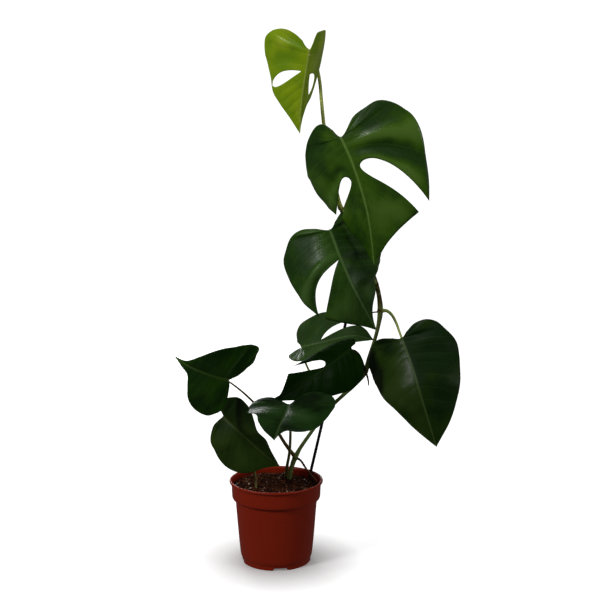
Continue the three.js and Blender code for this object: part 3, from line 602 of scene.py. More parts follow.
def tube(line, radius, sides, round_ends=True):
    """A rod along a line: point = line + radius(station, angle) x (side cos a + rise sin a). Each end is
    closed by a short dome, or a nearly flat one, that shrinks to a pole on the line. Also gives the
    station of each row and the angles round the rod."""
    angle = np.linspace(0, 2 * np.pi, sides, endpoint=False)
    tangent, side, rise = travelling_frames(line)
    radius = np.broadcast_to(radius, (len(line), sides))
    ring = side[:, None] * np.cos(angle)[:, None] + rise[:, None] * np.sin(angle)[:, None]
    rows = line[:, None] + ring * radius[..., None]
    step = np.arange(1, END_ROWS) / END_ROWS
    shrink = np.cos(step * np.pi / 2) if round_ends else 1 - step**4
    height, pole_height = ROUND_END_HEIGHTS if round_ends else FLAT_END_HEIGHTS
    ends = []
    for end, way in ((0, -tangent[0]), (-1, tangent[-1])):
        centres = line[end] + way * (radius[end, 0] * height * np.sin(step * np.pi / 2))[:, None]
        dome = centres[:, None] + ring[end] * (radius[end] * shrink[:, None])[..., None]
        pole = np.tile(line[end] + way * radius[end, 0] * pole_height, (1, sides, 1))
        ends.append(np.concatenate([dome, pole]))
    station = np.clip(np.arange(-END_ROWS, len(line) + END_ROWS), 0, len(line) - 1)
    return np.concatenate([ends[0][::-1], rows, ends[1]]), station, angle


def tube_piece(name, rows, finish, slot, replaced, **attributes):
    """A tube's rows as a closed, declared piece with its own attributes."""
    spread = {key: np.broadcast_to(values, rows.shape[:2]) for key, values in attributes.items()}
    quads = sheet_faces(*rows.shape[:2], wrap=True)
    declare(welded_piece(name, rows, quads, finish, **spread), slot, replaced)


coated = start_finish("black_coating")
stake_place = on_piece(coated)
stake_scuffs = noise(coated, stake_place, 500, 5, 0.65)
stake_wear = step_between(coated, stake_scuffs, 0.5, 0.75)
stake_colour = blend(coated, stake_wear, linear(11, 11, 11), linear(33, 32, 30))
stake_height = add(coated, "SeparateXYZ", {0: stake_place}).outputs["Z"]
stake_soil = step_between(coated, stake_height, STAKE_SOIL["none_above"], STAKE_SOIL["full_below"])
stake_soil = sums(coated, "MULTIPLY", stake_soil, stake_scuffs)
stake_colour = blend(coated, stake_soil, stake_colour, linear(75, 50, 36))
stake_gloss = sums(coated, "MULTIPLY_ADD", stake_scuffs, 0.3, 0.3)
close_finish(coated, {"Base Color": stake_colour, "Roughness": stake_gloss, "Specular IOR Level": 0.15},
             stake_scuffs, 0.00015)
stake_line, _ = smooth_line(STAKE_PATH, STAKE_STEP)
stake_rows, _, _ = tube(stake_line, STAKE_RADIUS, STAKE_SIDES)
tube_piece("stake_rod", stake_rows, coated, "stake_plastic", "support_stake")

# Climbing stem
# The living green stem, 5 to 6 mm thick. It thickens at each node, where a leaf stalk or an aerial root
# leaves it, and has a brown ring there. Scraps of a dry sheath still cling to one stretch of it.
STEM = [
    (13, 13.5, 70, 3.1), (16.6, 12.6, 103, 3.1), (20.5, 12, 121, 2.9), (24.5, 12, 132, 3.6),
    (30, 12, 143, 2.5), (42, 12, 161, 2.3), (66, 14, 194, 2.4), (84, 14, 212, 2.4),
    (102, 14, 229, 2.5), (114, 14, 245, 3.6), (119, 13, 265, 2.4), (125, 11, 285, 2.3),
    (130, 10, 306, 2.6), (132, 9, 324, 3.7), (130, 8, 344, 2.9), (125, 8, 363, 3),
    (116, 8, 384, 2.8), (103, 7, 408, 2.7), (93, 6, 427, 2.6), (84, 6, 447, 2.9), (81, 6, 455, 2.4),
]
STEM_NODES = [(24.5, 132), (69, 197), (114, 245), (132, 324), (126, 358), (85, 447)]
STEM_STEP = 1.6
STEM_SIDES = 28
# A ring stands out at each node and the stem is pinched beside it: (height, width), and how far beside.
NODE_RING = (0.28, 1.2)
NODE_PINCH = (0.12, 1.2)
PINCH_PLACE = 3.2
NODE_SCAR = (0.9, 2.2)
# How old the skin is, from green at 0 to brown at 1, and how much dry sheath is on it, by height.
STEM_AGE = [(70, 1), (100, 0.9), (118, 0.4), (135, 0), (180, 0.15), (240, 0.6), (320, 0.8), (455, 0.6)]
DRY_SHEATH = [(328, 0), (334, 0.85), (362, 0.85), (372, 0)]


def hump(size, distance):
    """A smooth hump of a height and a width: height x e^-(distance / width)^2."""
    height, width = size
    return height * np.exp(-((distance / width) ** 2))


stem_line, stem_run = smooth_line([station[:3] for station in STEM], STEM_STEP)
nearest = [int(np.argmin(np.linalg.norm(stem_line - station[:3], axis=1))) for station in STEM]
stem_girth = np.interp(stem_run, stem_run[nearest], [station[3] for station in STEM])
node_at = [stem_run[np.argmin(np.hypot(stem_line[:, 0] - x, stem_line[:, 2] - z))] for x, z in STEM_NODES]
from_node = np.min(np.abs(stem_run[:, None] - np.array(node_at)), axis=1)
stem_girth = stem_girth + hump(NODE_RING, from_node) - hump(NODE_PINCH, from_node - PINCH_PLACE)
stem_angle = np.linspace(0, 2 * np.pi, STEM_SIDES, endpoint=False)
# Low ridges wind slowly round the stem: five one way and three the other.
ridges = 1 + 0.035 * np.sin(5 * stem_angle + 0.02 * stem_run[:, None])
ridges = ridges + 0.02 * np.sin(3 * stem_angle - 0.11 * stem_run[:, None])
stem_rows, stem_station, _ = tube(stem_line, stem_girth[:, None] * ridges, STEM_SIDES, round_ends=False)


def stem_finish(name, young, old, scar):
    """Skin of a stem or a stalk: young and old colours mixed along it by the "age" attribute, darker
    streaks that run along it, and a dry brown scar where "scar" is 1."""
    finish = start_finish(name)
    age, dry, run, turn_x, turn_y = (
        reading(finish, key) for key in ("age", "scar", "run", "turn_x", "turn_y"))
    slow_run = sums(finish, "MULTIPLY", run, 0.06)
    lengthwise = add(finish, "CombineXYZ", {0: turn_x, 1: turn_y, 2: slow_run}).outputs[0]
    streaks = noise(finish, lengthwise, 3.5, 4, 0.6)
    mottle = noise(finish, on_piece(finish), 260, 4, 0.6)
    colour = blend(finish, age, linear(*young), linear(*old))
    darker = blend(finish, 1.0, colour, (0.55, 0.55, 0.5, 1), "MULTIPLY")
    colour = blend(finish, step_between(finish, streaks, 0.45, 0.75), colour, darker)
    dry_marks = sums(finish, "MULTIPLY", dry, step_between(finish, mottle, 0.25, 0.55))
    colour = blend(finish, dry_marks, colour, linear(*scar))
    rough = sums(finish, "MULTIPLY_ADD", dry, 0.3, 0.42)
    return close_finish(finish, {"Base Color": colour, "Roughness": rough, "Specular IOR Level": 0.06},
                        sums(finish, "MULTIPLY_ADD", streaks, 1.5, mottle), 0.00025)


def skin_attributes(station, run, angle, age, scar):
    """The values that a stem's finish reads, spread over a tube's rows."""
    return {
        "age": age[station][:, None], "scar": scar[station][:, None], "run": run[station][:, None],
        "turn_x": np.cos(angle), "turn_y": np.sin(angle),
    }


stem_skin = stem_finish("stem_skin", (148, 180, 98), (120, 128, 70), (80, 52, 28))
stem_age = np.interp(stem_line[:, 2], *zip(*STEM_AGE))
stem_scar = np.maximum(hump(NODE_SCAR, from_node), np.interp(stem_line[:, 2], *zip(*DRY_SHEATH)))
tube_piece("stem", stem_rows, stem_skin, "stem", "climbing_stem",
           **skin_attributes(stem_station, stem_run, stem_angle, stem_age, stem_scar))

# Aerial roots
# Brown corky roots that leave the stem at its nodes. The lowest reaches down to the soil; the other two
# are still short.
ROOTS = {
    "aerial_root_1": {
        "path": [(24.5, 12, 132), (31, 9, 129), (36, 8, 122), (40, 7, 116), (47, 4, 109), (52, 1, 103),
                 (54, -1, 96)],
        "radius": (1.6, 0.9)},
    "aerial_root_2": {
        "path": [(114, 13, 245), (116, 9, 240), (117.5, 8, 234), (118, 8, 228)],
        "radius": (1.7, 0.7)},
    "aerial_root_3": {
        "path": [(132, 9, 322.5), (126, 8, 322.5), (121, 7.5, 321.8)],
        "radius": (1.1, 0.8)},
}
ROOT_STEP = 0.8
ROOT_SIDES = 14
ROOT_TIP = 0.9
root_skin = stem_finish("root_skin", (140, 98, 66), (96, 64, 42), (60, 40, 28))
for root_name, root in ROOTS.items():
    root_line, root_run = smooth_line(root["path"], ROOT_STEP)
    share = root_run / root_run[-1]
    foot, tip = root["radius"]
    root_girth = foot + (tip - foot) * share
    wobble = 1 + 0.07 * np.sin(root_run * 1.7) + 0.05 * np.sin(root_run * 3.9 + 1)
    root_rows, root_station, root_angle = tube(root_line, (root_girth * wobble)[:, None], ROOT_SIDES)
    tube_piece(root_name.replace("aerial_root", "root"), root_rows, root_skin, "root", root_name,
               **skin_attributes(root_station, root_run, root_angle, 1 - share, 0.8 * (share > ROOT_TIP)))

# Leaf blades
# Nine leathery leaves. Each is one sheet, creased along a pale midrib and quilted between side veins
# that curve from the midrib to the margin; five of them have slits between veins.
CURL_SPAN = 60
BLADE = 0.55
BASAL_SHARE = 0.3
VEIN_SLANT = 0.3
VEIN_SPREAD = 0.55
MIDDLE_SHARE = 0.42
SWELL_REACH = 0.12
ROUND_END = 3
LEAVES = {
    "leaf_1": {
        "midrib": [(42, -44, 644), (38, -31, 620), (33, -15, 588), (30, 3, 547)],
        "facing": (0.17, -0.98, 0.11),
        "left": {
            "fold": -29, "curl": -19,
            "margin": [[(-9, 11), (-14, 22), (-15, 36), (-6, 54), (8, 63), (27, 60), (43, 51.5), (52, 46),
                        (66, 40), (77, 29), (92, 14), (103, 5), (109, 0)]],
            "hole": {"root": 26, "share": 0.65, "inner": 0.14, "outer": 0.98, "swell": (6.3, 6.3),
                     "lean": 1.6}},
        "right": {
            "fold": -52, "curl": -24,
            "margin": [[(-9, 7), (-18, 12), (-16, 26), (-10, 44), (0, 56), (21, 61), (38, 56), (57, 48),
                        (73, 30), (78, 17), (89, 7), (109, 0)]],
            "hole": {"root": 12.4, "share": 0.79, "inner": 0.45, "outer": 0.88, "swell": (14.7, 2.1),
                     "lean": 1.3}}},
    "leaf_2": {
        "midrib": [(79, -62, 542), (95, -64, 505), (111, -58, 452), (121, -39, 389)],
        "facing": (-0.47, -0.88, -0.07),
        "left": {
            "fold": -13, "curl": -15,
            "margin": [
                [(-12, 7), (-23, 17), (-25, 29), (-11, 60.5), (3.5, 77.5), (22.5, 87), (46, 88), (71, 84),
                 (94, 70), (105, 56)],
                [(110, 46), (125, 33), (140, 15), (154, 6), (163, 0)]],
            "slit": {"root": 38, "inner": 0.23, "swell": (8, 4.7), "lean": 0.4}},
        "right": {
            "fold": -6, "curl": -13,
            "margin": [
                [(-6, 10), (-17, 24), (-21, 41), (-22.5, 58), (-12.5, 74), (5, 85.5), (25, 90), (48, 86),
                 (75, 81), (93, 76)],
                [(101, 62), (108, 49), (120, 33), (135, 19), (149, 9.5), (163, 0)]],
            "slit": {"root": 31.5, "inner": 0.12, "swell": (10.2, 7.3), "lean": 0.52}}},
    "leaf_3": {
        "midrib": [(67, -32, 430), (81, -48, 394), (99, -50, 355), (125, -29, 306)],
        "facing": (0.14, -0.78, 0.61),
        "left": {
            "fold": -15, "curl": -45,
            "margin": [
                [(-8, 15, -1), (-15, 34, -1), (-11.5, 53.5), (-1.5, 67), (8, 78), (30, 78.5), (54, 73),
                 (78, 63), (92, 55)],
                [(96, 49), (103, 40), (114, 27), (129, 12), (145, 0)]],
            "slit": {"root": 37.4, "inner": 0.05, "swell": (9.8, 3.5), "lean": 1.2}},
        "right": {
            "fold": -8, "curl": -29,
            "margin": [[(-9, 10), (-21, 27), (-18, 48), (-6, 66), (11, 78), (34, 79), (57, 75), (76, 65),
                        (99, 53), (111, 34), (123, 14, -2), (135, 5, -2), (145, 0)]]}},
    "leaf_4": {
        "midrib": [(156, -27, 295), (167, -49, 266), (178, -66, 229), (197, -69, 168)],
        "facing": (-0.2, -0.95, 0.25),
        "left": {
            "fold": -14, "curl": -34,
            "margin": [[(-6, 10), (-16, 30), (-16, 44), (-8, 56), (5, 67), (27, 66), (51, 60),
                        (68.5, 53.5), (87, 42), (111, 26), (125, 15), (144, 0)]]},
        "right": {
            "fold": -4, "curl": -31,
            "margin": [[(-6, 8), (-14, 22), (-15, 37), (-9, 50), (3, 59), (17, 64), (33, 65), (52, 59),
                        (73, 53), (89, 46), (105, 36), (119.5, 24.5), (133.5, 10.5), (144, 0)]]}},
    "leaf_5": {
        "midrib": [(32, 40, 271), (54, 35, 277), (96, 30, 288), (124, 31, 283)],
        "facing": (0.01, -0.54, 0.84),
        "left": {
            "fold": 20, "curl": -8,
            "margin": [[(-8, 7), (-14, 17), (-11, 28), (-2, 39), (12, 44), (31, 43), (52, 34), (68, 23),
                        (83, 12), (97, 0)]]},
        "right": {
            "fold": 18, "curl": -10,
            "margin": [
                [(-5, 9), (-5, 24.5), (2, 37), (16, 44), (38, 45), (54, 39), (73, 22.5)],
                [(77.5, 16.5), (86, 11.5), (92, 5.5), (97, 0)]],
            "slit": {"root": 19.8, "inner": 0.22, "swell": (4.6, 0), "lean": 1}}},
    "leaf_6": {
        "midrib": [(93, -36, 284), (64, -39, 262), (33, -38, 240), (-9, -31, 216)],
        "facing": (-0.39, -0.84, 0.39),
        "left": {
            "fold": -18, "curl": -29,
            "margin": [
                [(-8, 4, -3), (-11, 11, -3), (-5, 20, -4), (11, 31, -4), (28, 34, -3), (48, 35),
                 (78, 36, 2)],
                [(88, 24.5, 3), (95, 11.5, 3), (107, 1), (124, 0)]],
            "slit": {"root": 33.3, "inner": 0.12, "swell": (5.7, 3.1), "lean": 0.4}},
        "right": {
            "fold": -3, "curl": -24,
            "margin": [[(0, 7, -2), (-4, 16, -2), (2, 29, -1), (12, 38, -1), (30, 41), (43, 37), (60, 30),
                        (81, 19), (98, 11), (124, 0)]]}},
    "leaf_7": {
        "midrib": [(17, -69, 221.5), (13, -100, 216.5), (7, -129, 210.5), (1, -159, 201.5)],
        "facing": (-0.05, -0.55, 0.83),
        "left": {
            "fold": 9, "curl": -33,
            "margin": [[(-7, 9), (-15, 22, 1), (-14, 38, 0), (0, 48), (20, 49), (37, 44, 2), (49, 32, 3),
                        (63, 26, 2), (80, 14), (94, 0)]]},
        "right": {
            "fold": 13, "curl": -12,
            "margin": [[(-7, 7, 2), (-17, 23, 5), (-14, 41, 5), (-4, 55, 4), (12, 58), (28, 53.5, -3),
                        (42, 48, -5), (59, 42, -6), (69, 32, -5), (72, 21, -4), (72, 10, -2), (80, 4, -1),
                        (94, 0)]]}},
    "leaf_8": {
        "midrib": [(-55, -66, 251), (-75, -94, 263), (-99, -113, 278), (-115, -114, 289)],
        "facing": (-0.37, -0.9, 0.22),
        "left": {
            "fold": 14, "curl": -11,
            "margin": [[(-8, 9), (-13, 23), (-12, 41.5), (-4.5, 54), (9, 54.5), (24, 52), (39, 44),
                        (56, 32), (68, 17), (78, 4), (91, 0)]]},
        "right": {
            "fold": 12, "curl": -11,
            "margin": [[(-5, 7), (-11, 24), (-9, 39), (-1, 45.5), (11, 49.5), (37, 45), (52, 36),
                        (61, 22), (68, 10), (79.5, 4.5), (91, 0)]]}},
    "leaf_9": {
        "midrib": [(-65, -32, 197.5), (-45, -44, 181.5), (-16, -51, 156.5), (5, -50, 138.5)],
        "facing": (-0.57, -0.82, 0.07),
        "left": {
            "fold": 12, "curl": 1,
            "margin": [[(-3, 9, -2), (-4, 18, -2), (0, 28, -2), (8, 37, -1), (18.5, 40.5), (32, 44.5, 1),
                        (46, 45.5, 2), (60, 41, 3), (73, 30, 3), (83, 13, 2), (95, 0)]]},
        "right": {
            "fold": 19, "curl": -13,
            "margin": [[(-8, 5), (-12, 15), (-7, 27), (2, 37), (14, 43), (25, 43, 1), (35.5, 36, 3),
                        (47, 28.5, 4), (59.5, 27, 4), (72, 17, 3), (84, 8, 1), (95, 0)]]}},
}
# Colours of the upper face, of its deep green, which also serves as painted shade in folds and
# shade areas, of the underside and of the veins, which also serves as painted sheen on crests and sheen
# areas and as a painted highlight along the rim, and how glossy each leaf is.
LEAF_PAINT = {
    "leaf_1": ((178, 210, 18), (132, 178, 4), (164, 200, 34), (214, 238, 100)),
    "leaf_2": ((74, 116, 18), (30, 70, 1), (76, 109, 59), (124, 162, 72)),
    "leaf_3": ((60, 98, 28), (22, 58, 4), (71, 102, 62), (98, 132, 70)),
    "leaf_4": ((42, 66, 14), (10, 40, 1), (62, 83, 48), (74, 94, 46)),
    "leaf_5": ((56, 88, 36), (38, 66, 18), (74, 102, 62), (86, 112, 64)),
    "leaf_6": ((16, 42, 3), (6, 32, 1), (50, 69, 36), (28, 50, 12)),
    "leaf_7": ((36, 70, 22), (5, 26, 1), (69, 100, 62), (70, 92, 54)),
    "leaf_8": ((50, 98, 14), (18, 62, 2), (57, 81, 43), (84, 122, 44)),
    "leaf_9": ((50, 72, 20), (22, 44, 3), (59, 78, 45), (70, 88, 38)),
}
GLOSS = {"leaf_1": 0.3, "leaf_2": 0.3, "leaf_3": 0.2, "leaf_4": 0.14, "leaf_5": 0.12, "leaf_6": 0.02,
         "leaf_7": 0.05, "leaf_8": 0.25, "leaf_9": 0.15}
# Pleats that run out along the veins: (share of the margin where they end, width in shares, height).
PLEATS = {
    "leaf_1": {
        "left": [(0.18, 0.06, -1.3), (0.32, 0.07, 1.6), (0.5, 0.05, -1)],
        "right": [(0.4, 0.1, 1.3)]},
    "leaf_2": {
        "left": [(0.28, 0.05, -2.6), (0.42, 0.09, 1.9), (0.63, 0.05, -4.2), (0.86, 0.06, 1.3)],
        "right": [(0.2, 0.06, 1.3), (0.41, 0.05, 3.2), (0.53, 0.045, -3.8), (0.8, 0.08, -1.3)]},
    "leaf_3": {
        "left": [(0.13, 0.04, 2.2), (0.2, 0.04, -1.3), (0.6, 0.04, 3.8), (0.67, 0.02, -1.6)],
        "right": [(0.12, 0.04, 1.6), (0.3, 0.07, 1.6), (0.53, 0.04, -4.2), (0.67, 0.04, 2.6),
                  (0.74, 0.03, -2.2), (0.81, 0.03, 1.9)]},
    "leaf_4": {
        "left": [(0.16, 0.025, -1.6), (0.24, 0.04, 1.4), (0.33, 0.03, -1.8), (0.62, 0.1, 1.6)],
        "right": [(0.17, 0.05, 1.6), (0.27, 0.04, -2.4), (0.36, 0.04, 1.6), (0.43, 0.04, -2.9),
                  (0.62, 0.06, 1.6), (0.72, 0.04, -1.3)]},
    "leaf_5": {
        "left": [(0.4, 0.1, 1.3)],
        "right": [(0.35, 0.08, -1.6), (0.62, 0.06, 1.6)]},
    "leaf_6": {
        "left": [(0.3, 0.06, 1.3), (0.5, 0.05, -1.3)],
        "right": [(0.3, 0.06, -1.6), (0.5, 0.06, 1.6)]},
    "leaf_7": {
        "left": [(0.07, 0.04, -2), (0.22, 0.05, 1.2), (0.36, 0.04, -1.1), (0.6, 0.05, 1.1)],
        "right": [(0.12, 0.05, 1.6), (0.38, 0.08, -2.6), (0.6, 0.06, 1.4)]},
    "leaf_8": {
        "left": [(0.09, 0.022, -1.9), (0.15, 0.022, 2.1), (0.22, 0.022, -2.1), (0.29, 0.024, 2.1),
                 (0.37, 0.025, -2.1), (0.45, 0.03, 1.6), (0.62, 0.05, -1.3)],
        "right": [(0.2, 0.05, 1.6), (0.42, 0.06, -1.9), (0.6, 0.05, 1.3)]},
    "leaf_9": {
        "left": [(0.2, 0.05, 1.3), (0.55, 0.08, -1.6)],
        "right": [(0.3, 0.06, -1.9), (0.6, 0.07, 1.6)]},
}
# Painted shade and sheen on each half, darker and lighter where the light fell: (share of the margin,
# its width, place between the midrib at 0 and the margin at 1, its width, amount), where -1 paints
# shade in the deep green and 1 a pale painted sheen.
PAINTED_SHADE_AND_SHEEN = {
    "leaf_1": {
        "left": [(0.15, 0.05, 0.5, 0.4, 0.9), (0.9, 0.08, 0.2, 0.3, 0.7), (0.5, 0.1, 0.6, 0.5, -0.5)],
        "right": [(0.5, 0.2, 0.6, 0.5, 0.4)]},
    "leaf_2": {
        "left": [(0.25, 0.25, 0.85, 0.4, -1), (0.66, 0.07, 0.6, 0.4, 1.3), (0.9, 0.12, 0.8, 0.4, -0.5)],
        "right": [(0.24, 0.14, 0.6, 0.6, -1.2), (0.43, 0.035, 0.6, 0.5, 1.3),
                  (0.53, 0.04, 0.6, 0.6, -1.2), (0.63, 0.03, 0.45, 0.35, 1.3), (0.8, 0.12, 0.5, 0.5, 1)]},
    "leaf_3": {
        "left": [(0.38, 0.12, 0.9, 0.4, -0.7), (0.62, 0.04, 0.3, 0.35, 1.2), (0.82, 0.09, 0.5, 0.6, 0.6),
                 (0.12, 0.03, 0.6, 0.5, 0.6)],
        "right": [(0.12, 0.08, 0.6, 0.6, -1), (0.38, 0.06, 0.6, 0.6, -1.1), (0.54, 0.04, 0.5, 0.6, 0.7),
                  (0.66, 0.05, 0.6, 0.5, -0.8), (0.76, 0.04, 0.5, 0.25, 1.1),
                  (0.9, 0.08, 0.7, 0.5, -0.5)]},
    "leaf_4": {
        "left": [(0.12, 0.03, 0.5, 0.5, -1.2), (0.23, 0.03, 0.5, 0.5, -0.8), (0.6, 0.4, 0.7, 0.9, 0.9)],
        "right": [(0.4, 0.35, 0.45, 0.7, -1.3), (0.62, 0.15, 0.9, 0.2, 0.6), (0.2, 0.04, 0.6, 0.3, 0.6)]},
    "leaf_5": {
        "left": [(0.5, 0.3, 0.6, 0.5, 0.5), (0.2, 0.08, 0.9, 0.3, 0.6)],
        "right": [(0.7, 0.15, 0.6, 0.5, -0.5)]},
    "leaf_6": {
        "left": [(0.5, 0.2, 0.6, 0.6, -0.5)],
        "right": [(0.2, 0.08, 0.7, 0.4, 0.8)]},
    "leaf_7": {
        "left": [(0.08, 0.05, 0.7, 0.5, -1.4), (0.22, 0.04, 0.6, 0.5, -0.9), (0.45, 0.1, 0.7, 0.4, 0.9)],
        "right": [(0.15, 0.12, 0.5, 0.6, -1.4), (0.38, 0.05, 0.85, 0.3, 0.7), (0.6, 0.08, 0.5, 0.5, 0.6),
                  (0.8, 0.06, 0.6, 0.5, -0.8)]},
    "leaf_8": {
        "left": [(0.12, 0.03, 0.5, 0.5, 1), (0.19, 0.03, 0.5, 0.5, -1.2), (0.26, 0.03, 0.5, 0.5, 1),
                 (0.34, 0.03, 0.5, 0.5, -1.1), (0.42, 0.025, 0.6, 0.5, 0.9), (0.7, 0.1, 0.6, 0.5, -0.7)],
        "right": [(0.3, 0.05, 0.5, 0.5, -0.8), (0.45, 0.05, 0.6, 0.4, 0.8)]},
    "leaf_9": {
        "left": [(0.5, 0.4, 0.6, 0.6, 0.5)],
        "right": [(0.25, 0.15, 0.6, 0.6, -1.2), (0.7, 0.1, 0.6, 0.5, -0.4)]},
}
SIDE_VEINS = 9
ROWS_A_VEIN = 7
BASAL_VEINS = 4
BASE_CROWDING = 0.4
VEIN_CLEARANCE = 2.5
MIDRIB_POINTS = 40
ENTIRE_COLUMNS = 34
QUILTING = {"leaf_1": 0.4, "leaf_2": 0.3, "leaf_3": 0.3, "leaf_4": 0.25, "leaf_5": 0.2, "leaf_6": 0.3,
            "leaf_7": 0.2, "leaf_8": 0.35, "leaf_9": 0.2}
# Reliefs in millimetres, each (height or depth, width), and distances over which others ease in from
# the margin or the midrib.
RIB_GROOVE = (0.45, 1.4)
VEIN_GROOVE = (0.35, 1.3)
RIB_KEEL = (1.3, 1.0)
VEIN_KEEL = (0.15, 0.8)
QUILT_EASE = 8
GROOVE_EASE = 12
WAVE_EASE = 20
KEEL_EASE = 20
# A pleat rises up to a share of the way from the midrib to the margin and flattens beyond.
PLEAT_EASE = {"rises_to": 0.4, "power": 1.5, "flattens_by": 0.55}
# How much of the pleats' and the waves' height is painted into the two greens, as painted shade in
# their troughs and painted sheen on their crests, and how the midrib's pale line narrows.
RELIEF_PAINTED_AS_SHADE_AND_SHEEN = {"pleat": 0.25, "wave": 0.8}
RIB_NARROWS = (1.2, 0.6)
THIN_MARGIN = {"share": 0.55, "reach": 2.5}
WAVE_HEIGHT = 0.6
# Pale marks in the veins' colour: (where there is none, where it is full) and how strong.
# The crest mark is a pale painted sheen on pleat crests and in the painted sheen areas.
CREST_SHEEN_MARK = (0.1, 1.6, 0.45)
NET_MARK = (0.12, 0.02, 0.08)
SIDE_MARK = (0.75, 0.15, 0.16)
RIB_MARK = (2.2, 0.8, 0.85)
# The rim mark is a pale line painted along the margin as a highlight.
RIM_HIGHLIGHT_MARK = (0.7, 0.1, 0.4)
SIDE_MARK_EASE = 22


def ramp(distance, reach):
    """0 at no distance, 1 from the reach on, and straight between."""
    return np.clip(distance / reach, 0, 1)


def even_curve(points, gentle):
    """A curve through a leaf's points, whose third number is 0 where it isn't given."""
    return rounded_line([(*point, 0.0)[:3] for point in points], lambda length: MIDRIB_POINTS, gentle)


def along_curve(curve, share):
    """Places at shares of a curve's whole length."""
    dense, run = curve
    return read_off(share * run[-1], run, dense)


def out_along_vein(root, end, t):
    """Flat places t of the way out along veins: a quadratic curve from (root, 0) to the margin, turned
    by a control place VEIN_SLANT of the way along and VEIN_SPREAD of the way across."""
    root, end, t = root[:, None], end[:, None], t[None]
    turn_along = root + VEIN_SLANT * (end[..., 0] - root)
    along = (1 - t) ** 2 * root + 2 * t * (1 - t) * turn_along + t**2 * end[..., 0]
    across = 2 * t * (1 - t) * VEIN_SPREAD * end[..., 1] + t**2 * end[..., 1]
    return np.stack([along, across, end[..., 2] * t**2], -1)


def half_rows(half, length, roots, is_vein):
    """One half of a leaf as rows of flat places [along, across, lift], from the notch to the tip, with
    the row after which its slit gapes, which rows are veins, and each row's share of the margin."""
    runs = [even_curve(points, False) for points in half["margin"]]
    sizes = [run[-1] for _, run in runs]
    opening = half.get("slit") or half.get("hole")
    slit_share = sizes[0] / sum(sizes) if len(runs) > 1 else None
    open_share = (slit_share or opening["share"]) if opening else 0
    knots = [(0, BASAL_SHARE)] + ([(opening["root"], open_share)] if opening else [])
    last_root, last_share = knots[-1]
    knots += [(last_root + MIDDLE_SHARE * (length - last_root), (last_share + 1) / 2), (length, 1)]
    basal = np.linspace(0, BASAL_SHARE, BASAL_VEINS * ROWS_A_VEIN, endpoint=False)
    basal_vein = (np.arange(len(basal)) % ROWS_A_VEIN) == ROWS_A_VEIN // 2
    root = np.concatenate([np.zeros(len(basal)), roots])
    share = np.concatenate([basal, np.interp(roots, *zip(*knots))])
    vein = np.concatenate([basal_vein, is_vein])
    gape = None
    side = np.sign(share - open_share) if opening else np.zeros(len(share))
    edge = np.zeros(len(root), bool)
    if opening:
        gape = int(np.argmin(np.where(root > 0, np.abs(root - opening["root"]), np.inf)))
        root, share, vein, side, edge = (
            np.insert(row, gape, row[gape]) for row in (root, share, vein, side, edge))
        share[gape : gape + 2], side[gape : gape + 2], edge[gape : gape + 2] = open_share, (-1, 1), True
        vein[gape : gape + 2] = False

    def on_margin(share, late):
        if len(runs) == 1:
            return along_curve(runs[0], share)
        early = along_curve(runs[0], np.clip(share / slit_share, 0, 1))
        later = along_curve(runs[1], np.clip((share - slit_share) / (1 - slit_share), 0, 1))
        return np.where(late[:, None], later, early)

    end = on_margin(share, side > 0)
    if not opening:
        return out_along_vein(root, end, np.linspace(0, 1, ENTIRE_COLUMNS)), None, vein, share
    inner, outer = opening["inner"], opening.get("outer", 1.0)
    t = np.concatenate([np.linspace(0, inner, 7), inner + (outer - inner) * np.linspace(0, 1, 30)[1:] ** 1.5])
    if outer < 1:
        t = np.concatenate([t, np.linspace(outer, 1, 6 if outer < 0.9 else 3)[1:]])
    flat = out_along_vein(root, end, t)
    middle = on_margin(np.array([open_share] * 2), np.array([False, True])).mean(0)
    centre = out_along_vein(np.array([opening["root"]]), middle[None], t)[0]
    gap = np.clip((t - inner) / (outer - inner), 0, 1)
    if "slit" in half:
        x = np.minimum(ROUND_END * gap, 1)
        part = np.sqrt(x * (2 - x))[None, :, None]
        flat = np.where(edge[:, None, None], centre[None] + (flat - centre[None]) * part, flat)
    else:
        flat = np.where(edge[:, None, None], centre[None], flat)
    heading = middle[:2] - (opening["root"], 0)
    heading = heading / np.linalg.norm(heading)
    near = np.where(edge, 1, np.exp(-np.abs(share - open_share) / SWELL_REACH))
    swell = np.where(side > 0, opening["swell"][1], -opening["swell"][0]) * near
    bulge = np.sin(np.pi * gap ** opening["lean"])
    push = swell[:, None] * (bulge if "slit" in half else np.sqrt(np.abs(bulge)))[None]
    flat[..., 0] += heading[1] * push
    flat[..., 1] -= heading[0] * push
    return flat, gape, vein, share


def in_space(leaf, half, side, flat, midrib):
    """Flat places on a half blade as points in space: out from the midrib by sin(k w) / k in the half's
    folded direction and up by (1 - cos(k w)) / k plus the lift, where k is its curl."""
    dense, run = midrib
    heading = np.gradient(dense, run, axis=0)
    heading /= np.linalg.norm(heading, axis=1)[:, None]
    along, across, lift = flat[..., 0], flat[..., 1], flat[..., 2]
    within = np.clip(along, 0, run[-1])
    ahead = read_off(within, run, heading)
    ahead /= np.linalg.norm(ahead, axis=-1)[..., None]
    base = read_off(within, run, dense) + ahead * (along - within)[..., None]
    facing = np.array(leaf["facing"])
    up = facing - ahead * (ahead @ facing)[..., None]
    up /= np.linalg.norm(up, axis=-1)[..., None]
    out = side * np.cross(ahead, up)
    fold, bend = np.radians(half["fold"]), np.radians(half["curl"]) / CURL_SPAN
    outward = out * np.cos(fold) + up * np.sin(fold)
    above = up * np.cos(fold) - out * np.sin(fold)
    reach = np.sin(bend * across) / bend
    rise = (1 - np.cos(bend * across)) / bend + lift
    return base + outward * reach[..., None] + above * rise[..., None]


